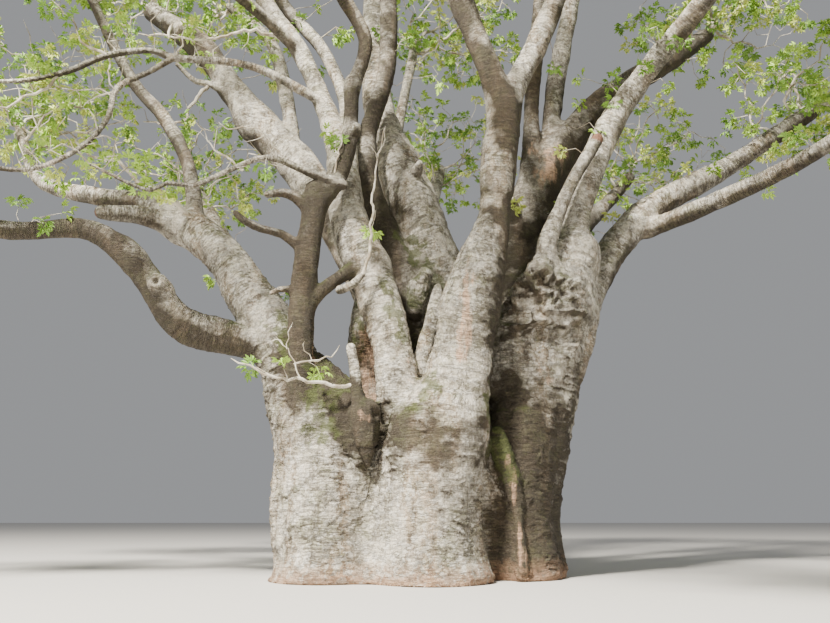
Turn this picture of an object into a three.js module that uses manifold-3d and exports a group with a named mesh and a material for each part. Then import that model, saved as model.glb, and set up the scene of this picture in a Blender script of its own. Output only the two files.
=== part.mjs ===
// A very old baobab, standing alone: one fused trunk of several swollen lobes, the thick stems
// and boughs that rise from its crown-shaped top, and the foliage masses at their ends.
// Millimetres, +Z up. The camera side of the tree is -Y and +X is to its right.
// Sizes are written in metres, because the tree is measured in metres.
import * as THREE from "three";
import { mergeVertices } from "three/addons/utils/BufferGeometryUtils.js";
import Module from "manifold-3d";

const wasm = await Module();
wasm.setup();

const METRE = 1000;
const GAP = 0.5; // mm left between two nodes that touch
const MERGE = 0.001; // mm within which two corners are one
const TOUCH_SHARE = 0.02; // least share of a limb's volume that a kept piece has

const TRUNK_SIDES = 12;
const LOBE_RISES = [0, 0.17, 0.55, 0.84, 1]; // where its rings stand, as shares of its height
const BOUGH_SIDES = 7;
const BOUGH_RINGS = 6;
const BRANCH_SIDES = 5;
const BRANCH_RINGS = 5;
const BRANCH_BELOW = 0.55; // m thick: a limb under this is drawn with a branch's fewer sides
const UNEVEN = 0.05; // share of a limb's radius that its outline wavers
const LOBE_SWELLS = 3; // swellings around a lobe of the trunk
const LIMB_SWELLS = 2; // and around a limb
const LOBE_TWIST = 2; // radians that a lobe's swellings turn from foot to top
const LIMB_TWIST = 5; // and a limb's from end to end
const MASS_DETAIL = 2;
const MASS_LUMPS = 0.13; // share of a mass's radius that its lumps stand out
const MASS_UNDERSIDE = 0.72; // height of a mass's underside against its top
const MASS_WAVES = { across: 3.1, deep: 2.7, high: 4.3, slanting: 2.2 }; // waves over a mass, in radians
const MASS_TURNS = { across: 1.7, deep: 1, high: 0.6 }; // how far they shift from one mass to the next
const MASS_FINE = 0.6; // height of its upright waves against the others

const BARK_PALE = { color: 0xb9b0a2, roughness: 0.86, metalness: 0 };
const BARK_DARK = { color: 0x9a8f80, roughness: 0.88, metalness: 0 };
const LEAF_GREEN = { color: 0x7d9a48, roughness: 0.7, metalness: 0 };

// Each lobe of the trunk: where its middle stands on the ground, where it ends at the fork,
// and its half width and half depth at the foot and at the fork. All in metres.
const LOBES = [
  { foot: [-1.84, -0.55], top: [-2.06, -0.45], footSize: [1.16, 1.37], topSize: [1.04, 1.03], height: 4.2 },
  { foot: [0.32, -1.05], top: [0.35, -1.2], footSize: [1.14, 1.37], topSize: [1.1, 0.98], height: 3.9 },
  { foot: [1.98, 0.35], top: [2.62, 0.3], footSize: [1.22, 1.48], topSize: [1.05, 1.18], height: 4.4 },
  { foot: [-1.35, 1.2], top: [-1.6, 1.45], footSize: [1.35, 1.3], topSize: [1.05, 0.95], height: 3.9 },
  { foot: [1.1, 1.5], top: [1.4, 1.7], footSize: [1.4, 1.2], topSize: [1.15, 0.95], height: 4.1 },
  { foot: [-0.2, 1.8], top: [-0.1, 1.9], footSize: [1.2, 0.95], topSize: [0.95, 0.8], height: 3.8 },
  { foot: [0, 0.2], top: [0.1, 0.35], footSize: [1.9, 1.8], topSize: [1.7, 1.5], height: 3.6 },
];
const DOME_START = 0.75; // share of a lobe's height where it begins to close over
const DOME = 0.4; // share of its width that it has lost at the top
const FLARE = 0.1; // m that the foot of a lobe spreads beyond its own line
const FLARE_HEIGHT = 0.7; // m up to which it does
const LOBE_BEND = 1.4; // over 1, so that a lobe stands straighter at the foot and leans above

// The stems whose swollen bases belong to the trunk, with the length in metres of each base
// that stands clear above the stem's first waypoint. It also reaches down from there.
const BASES = {
  stem_left: 1,
  stem_dark: 0.6,
  stem_pale: 0.8,
  stem_back: 0.9,
  stem_front: 1,
  stem_right: 1,
  bough_far_right: 0.7,
  bough_far_left: 0.8,
  bough_back_left: 0.8,
  bough_back: 0.8,
  bough_back_right: 0.8,
};
const BASE_DEPTH = 1.4; // length of a base below the first waypoint, against that above it
const BASE_INWARD = 0.8; // how far out a base's foot stands, against its stem
const BASE_SPREAD = 1.12; // width of a base's foot against its stem
const BASE_LIP = 1.04; // width of a base's top against its stem
const BASE_TAPER = 0.7; // under 1, so that a base narrows mostly near its foot
const BASE_SIDES = 7;
const BASE_RINGS = 3;

// Each limb: its waypoints, and its thickness at each of them, in metres.
// It starts inside whatever it grows from and is cut off flush with it.
const LIMBS = {
  // The left side: a great leaning stem that forks, and a low bough that sweeps out level.
  stem_left: {
    path: [[-2.38, -0.4, 3.4], [-2.9, -0.4, 4.7], [-3.6, -0.2, 5.9], [-4.9, 0.3, 7.7], [-5.9, 0.6, 8.3]],
    thick: [1.42, 1.34, 1.06, 0.96, 0.86],
  },
  bough_left_high: {
    path: [[-5.7, 0.55, 8.2], [-6.7, 0.9, 8.9], [-8.2, 1.3, 9.3], [-10, 1.8, 10], [-11.2, 2.4, 12.2]],
    thick: [0.76, 0.64, 0.5, 0.36, 0.24],
  },
  stub_left: { path: [[-5.6, 0.5, 8.1], [-6.6, 0.2, 8.35], [-7.4, -0.3, 8.25]], thick: [0.6, 0.48, 0.34] },
  branch_left_rising: {
    path: [[-5.3, 0.45, 7.9], [-5.75, 0.7, 9.9], [-6.5, 0.9, 11.3], [-7.5, 1.1, 12.5], [-8.8, 0.4, 15]],
    thick: [0.42, 0.36, 0.35, 0.32, 0.24],
  },
  bough_low_inner: {
    path: [[-3.1, -0.4, 4.9], [-4.4, -0.6, 5.2], [-5.2, -0.85, 5.45], [-5.7, -1, 6.1], [-6.4, -1.3, 7]],
    thick: [0.7, 0.74, 0.72, 0.64, 0.56],
  },
  bough_low_outer: {
    path: [
      [-6.2, -1.25, 6.75], [-7.1, -1.5, 7.35], [-8.9, -2, 7.2],
      [-10.4, -2.5, 7.9], [-11.3, -3.2, 9.8],
    ],
    thick: [0.54, 0.46, 0.4, 0.36, 0.28],
  },

  // The near left side: a dark upright stem with a sawn top, and the bent limb beside it.
  stem_dark: {
    path: [[-2.3, -1.05, 3.4], [-2.45, -1.3, 5], [-2.4, -1.45, 6.3], [-2.18, -1.4, 8.3]],
    thick: [0.62, 0.57, 0.58, 0.54],
  },
  limb_bent_lower: {
    path: [[-2.2, -1.4, 7.9], [-1.75, -1.35, 8.6], [-1.52, -1.2, 9.6], [-1.48, -1.1, 11.2]],
    thick: [0.44, 0.38, 0.36, 0.35],
  },
  limb_bent_upper: {
    path: [[-1.49, -1.1, 11], [-1.2, -1, 12.4], [-1.8, -1.3, 13.5], [-2.8, -3.8, 14.3], [-3.3, -6.4, 15.4]],
    thick: [0.36, 0.34, 0.34, 0.28, 0.22],
  },
  branch_crooked: {
    path: [
      [-1.61, -1.45, 8.45], [-3.21, -1.95, 8.88], [-4.3, -2.35, 8.2],
      [-5.46, -2.7, 7.8], [-6.6, -3.1, 8.2],
    ],
    thick: [0.22, 0.14, 0.12, 0.1, 0.08],
  },

  // The near middle: the pale stem and what rises from it.
  stem_pale: {
    path: [
      [-0.35, -1.2, 3.3], [-0.5, -1.1, 4.8], [-1.05, -0.8, 6.7],
      [-1.55, -0.55, 8], [-1.8, -0.2, 10.2],
    ],
    thick: [0.85, 0.85, 0.98, 0.95, 0.7],
  },
  bough_pale: {
    path: [[-1.8, -0.2, 9.9], [-2.3, 0, 11.3], [-3, 0.1, 12.9], [-3.9, 0.2, 14.3], [-5, -0.5, 17.4]],
    thick: [0.56, 0.48, 0.44, 0.48, 0.38],
  },
  branch_pale: {
    path: [
      [-1.75, -0.1, 9.9], [-1.7, 0.05, 11.1], [-2.3, 0.25, 12.8],
      [-3.6, 0.6, 14.7], [-4.3, 0.2, 17.2],
    ],
    thick: [0.34, 0.32, 0.32, 0.34, 0.28],
  },
  branch_thin: {
    path: [
      [-2.2, -0.1, 11.2], [-3.99, -0.75, 11.85], [-5.76, -1.3, 11.75],
      [-7.1, -1.7, 11.53], [-9.4, -2.5, 10.4],
    ],
    thick: [0.26, 0.2, 0.17, 0.15, 0.1],
  },
  branch_drooping: {
    path: [
      [-5.6, -1.3, 11.78], [-6.79, -1.65, 10.74], [-6.95, -1.8, 9.6],
      [-7.96, -2.25, 8.54], [-9.4, -2.6, 8.5],
    ],
    thick: [0.15, 0.14, 0.13, 0.12, 0.1],
  },
  branch_near_left: {
    path: [[-2.95, 0.1, 12.8], [-4.2, -1.4, 13.3], [-5.6, -3.2, 13.3], [-7.4, -5.3, 13.8]],
    thick: [0.3, 0.27, 0.23, 0.18],
  },

  // The middle of the tree: the great leaning stem at the back, and the one before it that forks.
  stem_back: {
    path: [[0.6, 0.7, 3.4], [0.62, 0.75, 6.8], [-0.1, 1.15, 9], [-0.95, 1.85, 12], [-1.3, 2.6, 18.3]],
    thick: [1.1, 1.2, 1.4, 0.85, 0.5],
  },
  stem_shaded: {
    path: [
      [0.25, 0.45, 4.5], [-0.06, 0.5, 6.2], [-0.78, 0.45, 8.1], [-1.12, 0.35, 9.2],
      [-1.2, 0.5, 10.6], [-0.75, 0.75, 12.6], [-0.9, 1.4, 18.2],
    ],
    thick: [1, 0.9, 0.74, 0.58, 0.44, 0.48, 0.4],
  },
  stem_front: {
    path: [[0.75, -1.4, 3.3], [0.99, -1.4, 4.5], [1.25, -1.4, 5.9], [1.75, -1.25, 7.8], [2.08, -1.1, 10.6]],
    thick: [1.55, 1.31, 1.2, 0.76, 0.76],
  },
  stem_front_left: {
    path: [[2.05, -1.1, 10.5], [1.65, -1.2, 11.8], [1.3, -1.3, 12.7], [0.7, -1.6, 14.4], [0.2, -2.8, 17.6]],
    thick: [0.66, 0.64, 0.57, 0.5, 0.42],
  },
  stem_front_right: {
    path: [[2.1, -1.1, 10.4], [2.5, -0.9, 11.5], [3, -0.75, 12.5], [3.8, -0.8, 14.6], [4.4, 0.2, 17.8]],
    thick: [0.58, 0.56, 0.52, 0.45, 0.38],
  },
  branch_forward_middle: {
    path: [[0.9, -1.5, 13.9], [0.8, -4.4, 13.9], [0.6, -8.8, 13.5]],
    thick: [0.34, 0.28, 0.2],
  },
  branch_forward_right: {
    path: [[3.5, -1, 13.8], [4.2, -3, 14.3], [4.7, -5.6, 15.3]],
    thick: [0.32, 0.28, 0.22],
  },

  // The right side: a swollen stem with a cluster of boughs.
  stem_right: {
    path: [[2.66, 0.3, 3.6], [2.93, 0.3, 4.8], [3.28, 0.35, 6], [3.7, 0.45, 7.4]],
    thick: [1.9, 2.18, 2.25, 1.48],
  },
  limb_sawn: {
    path: [
      [3, -0.3, 6.3], [3.09, -0.45, 7.5], [3.41, -0.4, 8.27],
      [3.74, -0.35, 9], [4.42, -0.25, 10.15],
    ],
    thick: [0.66, 0.46, 0.31, 0.31, 0.3],
  },
  bough_right: {
    path: [
      [3.56, 0.15, 6.8], [3.82, 0.2, 8], [4.36, 0.4, 9.6],
      [5.03, 0.6, 11], [5.7, 0.7, 12.1], [8.2, -1.8, 14.7],
    ],
    thick: [0.72, 0.66, 0.74, 0.7, 0.6, 0.38],
  },
  bough_right_low: {
    path: [[3.72, 0.8, 5.4], [4.45, 1.2, 6.9], [5.95, 1.6, 8.9], [8, 1.7, 10.1], [10.6, 1.5, 11.8]],
    thick: [0.95, 0.85, 0.74, 0.58, 0.42],
  },
  branch_right_near: {
    path: [[6, 1.55, 8.5], [7.7, -0.2, 8.8], [9.3, -2.4, 9.3], [10.7, -4.4, 10.6]],
    thick: [0.5, 0.44, 0.36, 0.28],
  },
  bough_far_right: {
    path: [[1.9, 0.9, 4.6], [2.6, 1.15, 7.6], [3.5, 1.5, 10], [5, 1.8, 12.1], [8.6, 2.8, 15]],
    thick: [1.1, 1.25, 1.1, 0.86, 0.46],
  },
  stem_tan: {
    path: [[2.8, 1.2, 8.4], [3.05, 1.35, 10.4], [3.2, 1.7, 12.6], [3.9, 1.8, 17.8]],
    thick: [0.52, 0.5, 0.46, 0.4],
  },
  stem_grey: {
    path: [[3.3, 1.4, 9.4], [3.65, 1.75, 11.3], [3.95, 2, 13.1], [5, 1.9, 17.9]],
    thick: [0.62, 0.56, 0.5, 0.42],
  },

  // The far side, which the near stems hide.
  bough_far_left: {
    path: [[-0.8, 1.7, 3.6], [-0.9, 2.15, 6.2], [-1.9, 2.35, 8.6], [-3.3, 2.5, 10.8], [-4.6, 2.7, 12.2]],
    thick: [1.15, 1, 1, 1.02, 1],
  },
  bough_far_left_top: {
    path: [[-4.4, 2.65, 12], [-5.2, 2.75, 13.1], [-6.4, 3, 14.8], [-8, 3.4, 16.2]],
    thick: [0.92, 0.84, 0.78, 0.55],
  },
  branch_far_left: {
    path: [[-3.3, 2.5, 10.8], [-3.8, 2.9, 13.4], [-4.3, 3.2, 15], [-5.8, 4, 16.8]],
    thick: [0.42, 0.4, 0.38, 0.3],
  },
  bough_back_left: {
    path: [[-2.1, 1.4, 3.3], [-3.3, 3, 5.6], [-4.8, 5.2, 8], [-6.4, 7.4, 10.3], [-8, 9, 13]],
    thick: [1, 0.74, 0.62, 0.52, 0.4],
  },
  bough_back: {
    path: [[0.1, 2, 3.3], [0, 3.6, 6.6], [0.2, 6, 9.4], [0.9, 9.6, 13.8]],
    thick: [0.95, 0.8, 0.62, 0.42],
  },
  branch_back_top: { path: [[0.1, 4.4, 7.6], [-0.7, 5, 10.8], [0, 6.5, 17.2]], thick: [0.44, 0.38, 0.3] },
  bough_back_right: {
    path: [[1.6, 1.8, 3.5], [2.7, 3.6, 6.6], [4.6, 6, 9.3], [7.8, 9, 13.2]],
    thick: [0.95, 0.8, 0.62, 0.42],
  },

  // The torn-off stub low on the near side, leaning out of the crease between two lobes.
  stub_near: {
    path: [[-0.95, -1.5, 2.3], [-0.97, -1.62, 2.8], [-1, -1.65, 3.3]],
    thick: [0.16, 0.5, 0.72],
  },
};

// Each mass of leaves: its middle, and how wide it is, in metres.
const MASSES = {
  leaves_low_left: { at: [-11.1, -3.4, 10.2], width: 5.6 },
  leaves_left: { at: [-11, 2.4, 12.6], width: 6.2 },
  leaves_left_upper: { at: [-8.9, -0.2, 16], width: 5.6 },
  leaves_near_left: { at: [-7.6, -5.6, 13.9], width: 6.4 },
  leaves_upper_left: { at: [-4.9, -1, 18], width: 6.2 },
  leaves_far_left: { at: [-7.4, 5, 17.2], width: 6.6 },
  leaves_back_left: { at: [-8, 9.2, 13.6], width: 6.8 },
  leaves_top: { at: [-1.4, 2.4, 19], width: 6.6 },
  leaves_top_near: { at: [0, -3.4, 18.2], width: 6.2 },
  leaves_near: { at: [-3.2, -7.4, 15.8], width: 6 },
  leaves_near_right: { at: [4.6, -6.6, 15.9], width: 6.6 },
  leaves_near_low: { at: [0.6, -10, 13.8], width: 5.6 },
  leaves_upper_right: { at: [4.5, 1, 18.4], width: 6.4 },
  leaves_right_near: { at: [8.9, -2.6, 15.2], width: 6.2 },
  leaves_right_upper: { at: [9.4, 3.6, 16.2], width: 6.4 },
  leaves_right: { at: [11, 1.4, 12.2], width: 6 },
  leaves_low_right: { at: [10.9, -4.8, 11], width: 5.8 },
  leaves_back: { at: [1, 10.2, 14.4], width: 6.8 },
  leaves_back_right: { at: [8, 9.2, 13.8], width: 6.8 },
  leaves_back_top: { at: [1.4, 6.6, 17.6], width: 6.2 },
};
const MASS_DEPTH = 0.97; // depth of a mass against its width
const MASS_HEIGHT = 0.7;

const metres = (point) => new THREE.Vector3(...point).multiplyScalar(METRE);

// A closed solid for booleans, from any closed geometry.
function solidOf(geometry) {
  const bare = new THREE.BufferGeometry();
  bare.setAttribute("position", geometry.getAttribute("position").clone());
  if (geometry.index) bare.setIndex(geometry.index.clone());
  const merged = mergeVertices(bare, MERGE);
  return new wasm.Manifold(
    new wasm.Mesh({
      numProp: 3,
      vertProperties: new Float32Array(merged.getAttribute("position").array),
      triVerts: new Uint32Array(merged.index.array),
    }),
  );
}

// Rings of points lofted into a closed solid, with a flat face at each end.
function loft(rings) {
  const sides = rings[0].length;
  const points = rings.flat().flatMap((point) => point.toArray());
  const faces = [];
  for (let ring = 0; ring + 1 < rings.length; ring += 1) {
    for (let side = 0; side < sides; side += 1) {
      const here = ring * sides + side;
      const next = ring * sides + ((side + 1) % sides);
      faces.push(here, next, next + sides, here, next + sides, here + sides);
    }
  }
  const last = (rings.length - 1) * sides;
  for (let side = 1; side + 1 < sides; side += 1) {
    faces.push(0, side + 1, side, last, last + side, last + side + 1);
  }
  const geometry = new THREE.BufferGeometry();
  geometry.setAttribute("position", new THREE.Float32BufferAttribute(points, 3));
  geometry.setIndex(faces);
  return solidOf(geometry);
}

// A lobe of the trunk: level rings that lean, taper, spread a little at the foot and close
// over in a low dome at the fork. `grown` makes it that much larger all round, in mm.
function lobe({ foot, top, footSize, topSize, height }, number, grown = 0) {
  const rings = [];
  for (let ring = 0; ring < LOBE_RISES.length; ring += 1) {
    const rise = LOBE_RISES[ring];
    const z = rise * height;
    const flare = FLARE * Math.max(0, 1 - z / FLARE_HEIGHT) ** 2;
    const dome = 1 - DOME * Math.max(0, (rise - DOME_START) / (1 - DOME_START)) ** 2;
    const middle = foot.map((value, axis) => THREE.MathUtils.lerp(value, top[axis], rise ** LOBE_BEND));
    const half = footSize.map((value, axis) => THREE.MathUtils.lerp(value, topSize[axis], rise));
    const points = [];
    for (let side = 0; side < TRUNK_SIDES; side += 1) {
      const turn = (side / TRUNK_SIDES) * 2 * Math.PI;
      const waver = 1 + UNEVEN * Math.sin(LOBE_SWELLS * turn + number * LOBE_TWIST + rise * LOBE_TWIST);
      const reach = half.map((value) => (value + flare) * waver * dome * METRE + grown);
      points.push(
        new THREE.Vector3(
          middle[0] * METRE + Math.cos(turn) * reach[0],
          middle[1] * METRE + Math.sin(turn) * reach[1],
          z * METRE + (rise === 1 ? grown : 0),
        ),
      );
    }
    rings.push(points);
  }
  return loft(rings);
}

// The thickness a share of the way along the waypoints, in metres.
function thicknessAt(thick, share) {
  const step = share * (thick.length - 1);
  const before = Math.min(Math.floor(step), thick.length - 2);
  return THREE.MathUtils.lerp(thick[before], thick[before + 1], step - before);
}

const curveOf = (path) => new THREE.CatmullRomCurve3(path.map(metres), false, "centripetal");

// A round solid along a curve. `radiusAt` gives its radius in mm a share of the way along.
// `grown` makes it that much larger all round, in mm.
function tube(curve, radiusAt, sides, rings, number, grown) {
  const frames = curve.computeFrenetFrames(rings - 1, false);
  const loops = [];
  for (let ring = 0; ring < rings; ring += 1) {
    const along = ring / (rings - 1);
    const middle = curve.getPointAt(along);
    const ends = (ring === 0 ? -grown : 0) + (ring === rings - 1 ? grown : 0);
    middle.addScaledVector(frames.tangents[ring], ends);
    const points = [];
    for (let side = 0; side < sides; side += 1) {
      const turn = (side / sides) * 2 * Math.PI;
      const waver = 1 + UNEVEN * Math.sin(LIMB_SWELLS * turn + number + along * LIMB_TWIST);
      const reach = radiusAt(along) * waver + grown;
      points.push(
        middle
          .clone()
          .addScaledVector(frames.normals[ring], Math.cos(turn) * reach)
          .addScaledVector(frames.binormals[ring], Math.sin(turn) * reach),
      );
    }
    loops.push(points);
  }
  return loft(loops);
}

// A limb: it follows a smooth curve through its waypoints and tapers along it.
function limb({ path, thick }, number, grown = 0) {
  const curve = curveOf(path);
  const slender = thick[0] < BRANCH_BELOW;
  const radiusAt = (along) => (thicknessAt(thick, curve.getUtoTmapping(along)) / 2) * METRE;
  const sides = slender ? BRANCH_SIDES : BOUGH_SIDES;
  return tube(curve, radiusAt, sides, slender ? BRANCH_RINGS : BOUGH_RINGS, number, grown);
}

// The swollen base of a stem, which is part of the trunk: it reaches down into the trunk and
// a little way up the stem's own curve, and narrows to the stem's thickness.
function base([name, clear], number, grown = 0) {
  const { path, thick } = LIMBS[name];
  const stem = curveOf(path);
  const share = (clear * METRE) / stem.getLength();
  const start = stem.getPointAt(0);
  const foot = start.clone().addScaledVector(stem.getTangentAt(0), -BASE_DEPTH * clear * METRE);
  foot.multiply(new THREE.Vector3(BASE_INWARD, BASE_INWARD, 1));
  const line = [foot, start, stem.getPointAt(share / 2), stem.getPointAt(share)];
  const curve = new THREE.CatmullRomCurve3(line, false, "centripetal");
  const topThick = thicknessAt(thick, stem.getUtoTmapping(share));
  const radiusAt = (along) => {
    const ends = [BASE_SPREAD * thick[0], BASE_LIP * topThick];
    return (THREE.MathUtils.lerp(...ends, along ** BASE_TAPER) / 2) * METRE;
  };
  return tube(curve, radiusAt, BASE_SIDES, BASE_RINGS, number, grown);
}

// A mass of leaves: a ball drawn out to its size, lumpy, and flatter underneath.
function mass({ at, width }, number, grown = 0) {
  const ball = new THREE.IcosahedronGeometry(1, MASS_DETAIL);
  const positions = ball.getAttribute("position");
  const heading = new THREE.Vector3();
  const half = metres([width, width * MASS_DEPTH, width * MASS_HEIGHT]).multiplyScalar(0.5);
  for (let index = 0; index < positions.count; index += 1) {
    heading.fromBufferAttribute(positions, index).normalize();
    const across = Math.sin(MASS_WAVES.across * heading.x + MASS_TURNS.across * number);
    const deep = Math.cos(MASS_WAVES.deep * heading.y + MASS_TURNS.deep * number);
    const slant = MASS_WAVES.high * heading.z + MASS_WAVES.slanting * heading.x;
    const lumps = across * deep + MASS_FINE * Math.sin(slant + MASS_TURNS.high * number);
    const scale = 1 + MASS_LUMPS * (lumps - 1);
    const reach = heading.clone().multiply(half).multiplyScalar(scale);
    if (reach.z < 0) reach.z *= MASS_UNDERSIDE;
    reach.addScaledVector(heading, grown);
    positions.setXYZ(index, ...metres(at).add(reach).toArray());
  }
  return solidOf(ball);
}

// The separate bodies of a solid, as bare triangle soups with their volumes.
function bodiesOf(solid) {
  const { vertProperties, triVerts } = solid.getMesh();
  const parent = Array.from({ length: vertProperties.length / 3 }, (_, index) => index);
  const rootOf = (index) => {
    let root = index;
    while (parent[root] !== root) {
      parent[root] = parent[parent[root]];
      root = parent[root];
    }
    return root;
  };
  for (let corner = 0; corner < triVerts.length; corner += 3) {
    parent[rootOf(triVerts[corner])] = rootOf(triVerts[corner + 1]);
    parent[rootOf(triVerts[corner + 1])] = rootOf(triVerts[corner + 2]);
  }
  const bodies = new Map();
  const corners = [new THREE.Vector3(), new THREE.Vector3(), new THREE.Vector3()];
  for (let corner = 0; corner < triVerts.length; corner += 3) {
    const root = rootOf(triVerts[corner]);
    if (!bodies.has(root)) bodies.set(root, { points: [], volume: 0 });
    const body = bodies.get(root);
    corners.forEach((point, step) => point.fromArray(vertProperties, triVerts[corner + step] * 3));
    body.volume += corners[0].dot(corners[1].clone().cross(corners[2])) / 6;
    body.points.push(...corners.flatMap((point) => point.toArray()));
  }
  return [...bodies.values()].sort((one, other) => other.volume - one.volume);
}

function geometryOf(points) {
  const geometry = new THREE.BufferGeometry();
  geometry.setAttribute("position", new THREE.Float32BufferAttribute(points, 3));
  return geometry;
}

function boxOf(solid) {
  const box = new THREE.Box3();
  const { vertProperties } = solid.getMesh();
  box.setFromArray(vertProperties);
  return box;
}

const tree = new THREE.Group();
tree.name = "baobab";
const standing = []; // what is already placed, as the larger solids that are cut from the rest

function place(name, solid, larger, finish) {
  let cut = solid;
  const box = boxOf(solid);
  for (const other of standing) {
    if (other.box.intersectsBox(box)) cut = cut.subtract(other.larger);
  }
  const bodies = bodiesOf(cut);
  const whole = bodies.reduce((sum, body) => sum + body.volume, 0);
  if (bodies[0].volume < TOUCH_SHARE * whole) throw new Error(`${name} is cut to nothing`);
  const mesh = new THREE.Mesh(geometryOf(bodies[0].points), new THREE.MeshStandardMaterial(finish));
  mesh.name = name;
  tree.add(mesh);
  standing.push({ larger, box: boxOf(larger) });
}

const join = (solids) => solids.reduce((sum, next) => sum.add(next));

const bulk = (grown) => [
  ...LOBES.map((sizes, number) => lobe(sizes, number, grown)),
  ...Object.entries(BASES).map((sizes, number) => base(sizes, number, grown)),
];
place("trunk", join(bulk(0)), join(bulk(GAP)), BARK_PALE);

const shapes = Object.entries(MASSES).map(([name, sizes], number) => [name, sizes, number]);
shapes.forEach(([name, sizes, number]) => {
  place(name, mass(sizes, number), mass(sizes, number, GAP), LEAF_GREEN);
});

Object.entries(LIMBS).forEach(([name, sizes], number) => {
  place(name, limb(sizes, number), limb(sizes, number, GAP), BARK_DARK);
});

export default tree;
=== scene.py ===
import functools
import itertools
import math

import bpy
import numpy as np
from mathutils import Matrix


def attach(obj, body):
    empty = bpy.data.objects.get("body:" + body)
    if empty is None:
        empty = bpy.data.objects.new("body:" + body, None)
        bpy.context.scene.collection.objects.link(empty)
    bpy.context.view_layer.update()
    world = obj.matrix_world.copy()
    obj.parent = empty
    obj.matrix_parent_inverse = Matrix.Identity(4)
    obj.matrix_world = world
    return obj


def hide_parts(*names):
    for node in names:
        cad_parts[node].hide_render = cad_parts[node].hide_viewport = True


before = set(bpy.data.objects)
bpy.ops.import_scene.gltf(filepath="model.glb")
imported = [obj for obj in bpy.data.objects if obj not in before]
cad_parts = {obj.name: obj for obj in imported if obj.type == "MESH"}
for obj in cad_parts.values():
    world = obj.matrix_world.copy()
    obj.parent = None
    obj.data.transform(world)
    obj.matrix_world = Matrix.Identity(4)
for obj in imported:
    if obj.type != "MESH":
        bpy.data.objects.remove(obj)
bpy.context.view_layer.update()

# %% [markdown]
# # A very old baobab
# The tree is a heap of swollen, fused stems under an open crown. Three things make it: a bark
# skin for everything thick, twigs that grow on from the limb ends, and leaves on the twigs.
# The limbs' middle lines and thicknesses are the same real sizes, in metres, as the solids have,
# so every part lies where its solid lies.

import openvdb
from mathutils import Vector

SEED = 11

# %% The lobes of the trunk
# Each has its middle and half sizes at the foot and at the fork, its height, and how brown its
# bark is painted, from 0 for pale grey to 1: partly the bark's own brown, partly painted shade.
LOBES = [
    dict(foot=(-1.84, -0.55), top=(-2.06, -0.45), foot_size=(1.12, 1.35), top_size=(1, 1),
         height=4.2, brown_and_shade=0),
    dict(foot=(0.32, -1.05), top=(0.35, -1.2), foot_size=(1.1, 1.35), top_size=(1.06, 0.95),
         height=3.9, brown_and_shade=0.1),
    dict(foot=(1.98, 0.35), top=(2.62, 0.3), foot_size=(1.18, 1.45), top_size=(1.0, 1.15),
         height=4.4, brown_and_shade=1.0),
    dict(foot=(-1.35, 1.2), top=(-1.6, 1.45), foot_size=(1.35, 1.3), top_size=(1.05, 0.95),
         height=3.9, brown_and_shade=0.3),
    dict(foot=(1.1, 1.5), top=(1.4, 1.7), foot_size=(1.4, 1.2), top_size=(1.15, 0.95),
         height=4.1, brown_and_shade=0.6),
    dict(foot=(-0.2, 1.8), top=(-0.1, 1.9), foot_size=(1.2, 0.95), top_size=(0.95, 0.8),
         height=3.8, brown_and_shade=0.3),
    dict(foot=(0, 0.2), top=(0.1, 0.35), foot_size=(1.9, 1.8), top_size=(1.7, 1.5),
         height=3.6, brown_and_shade=0.5),
]
print("lobes", len(LOBES))

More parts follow.
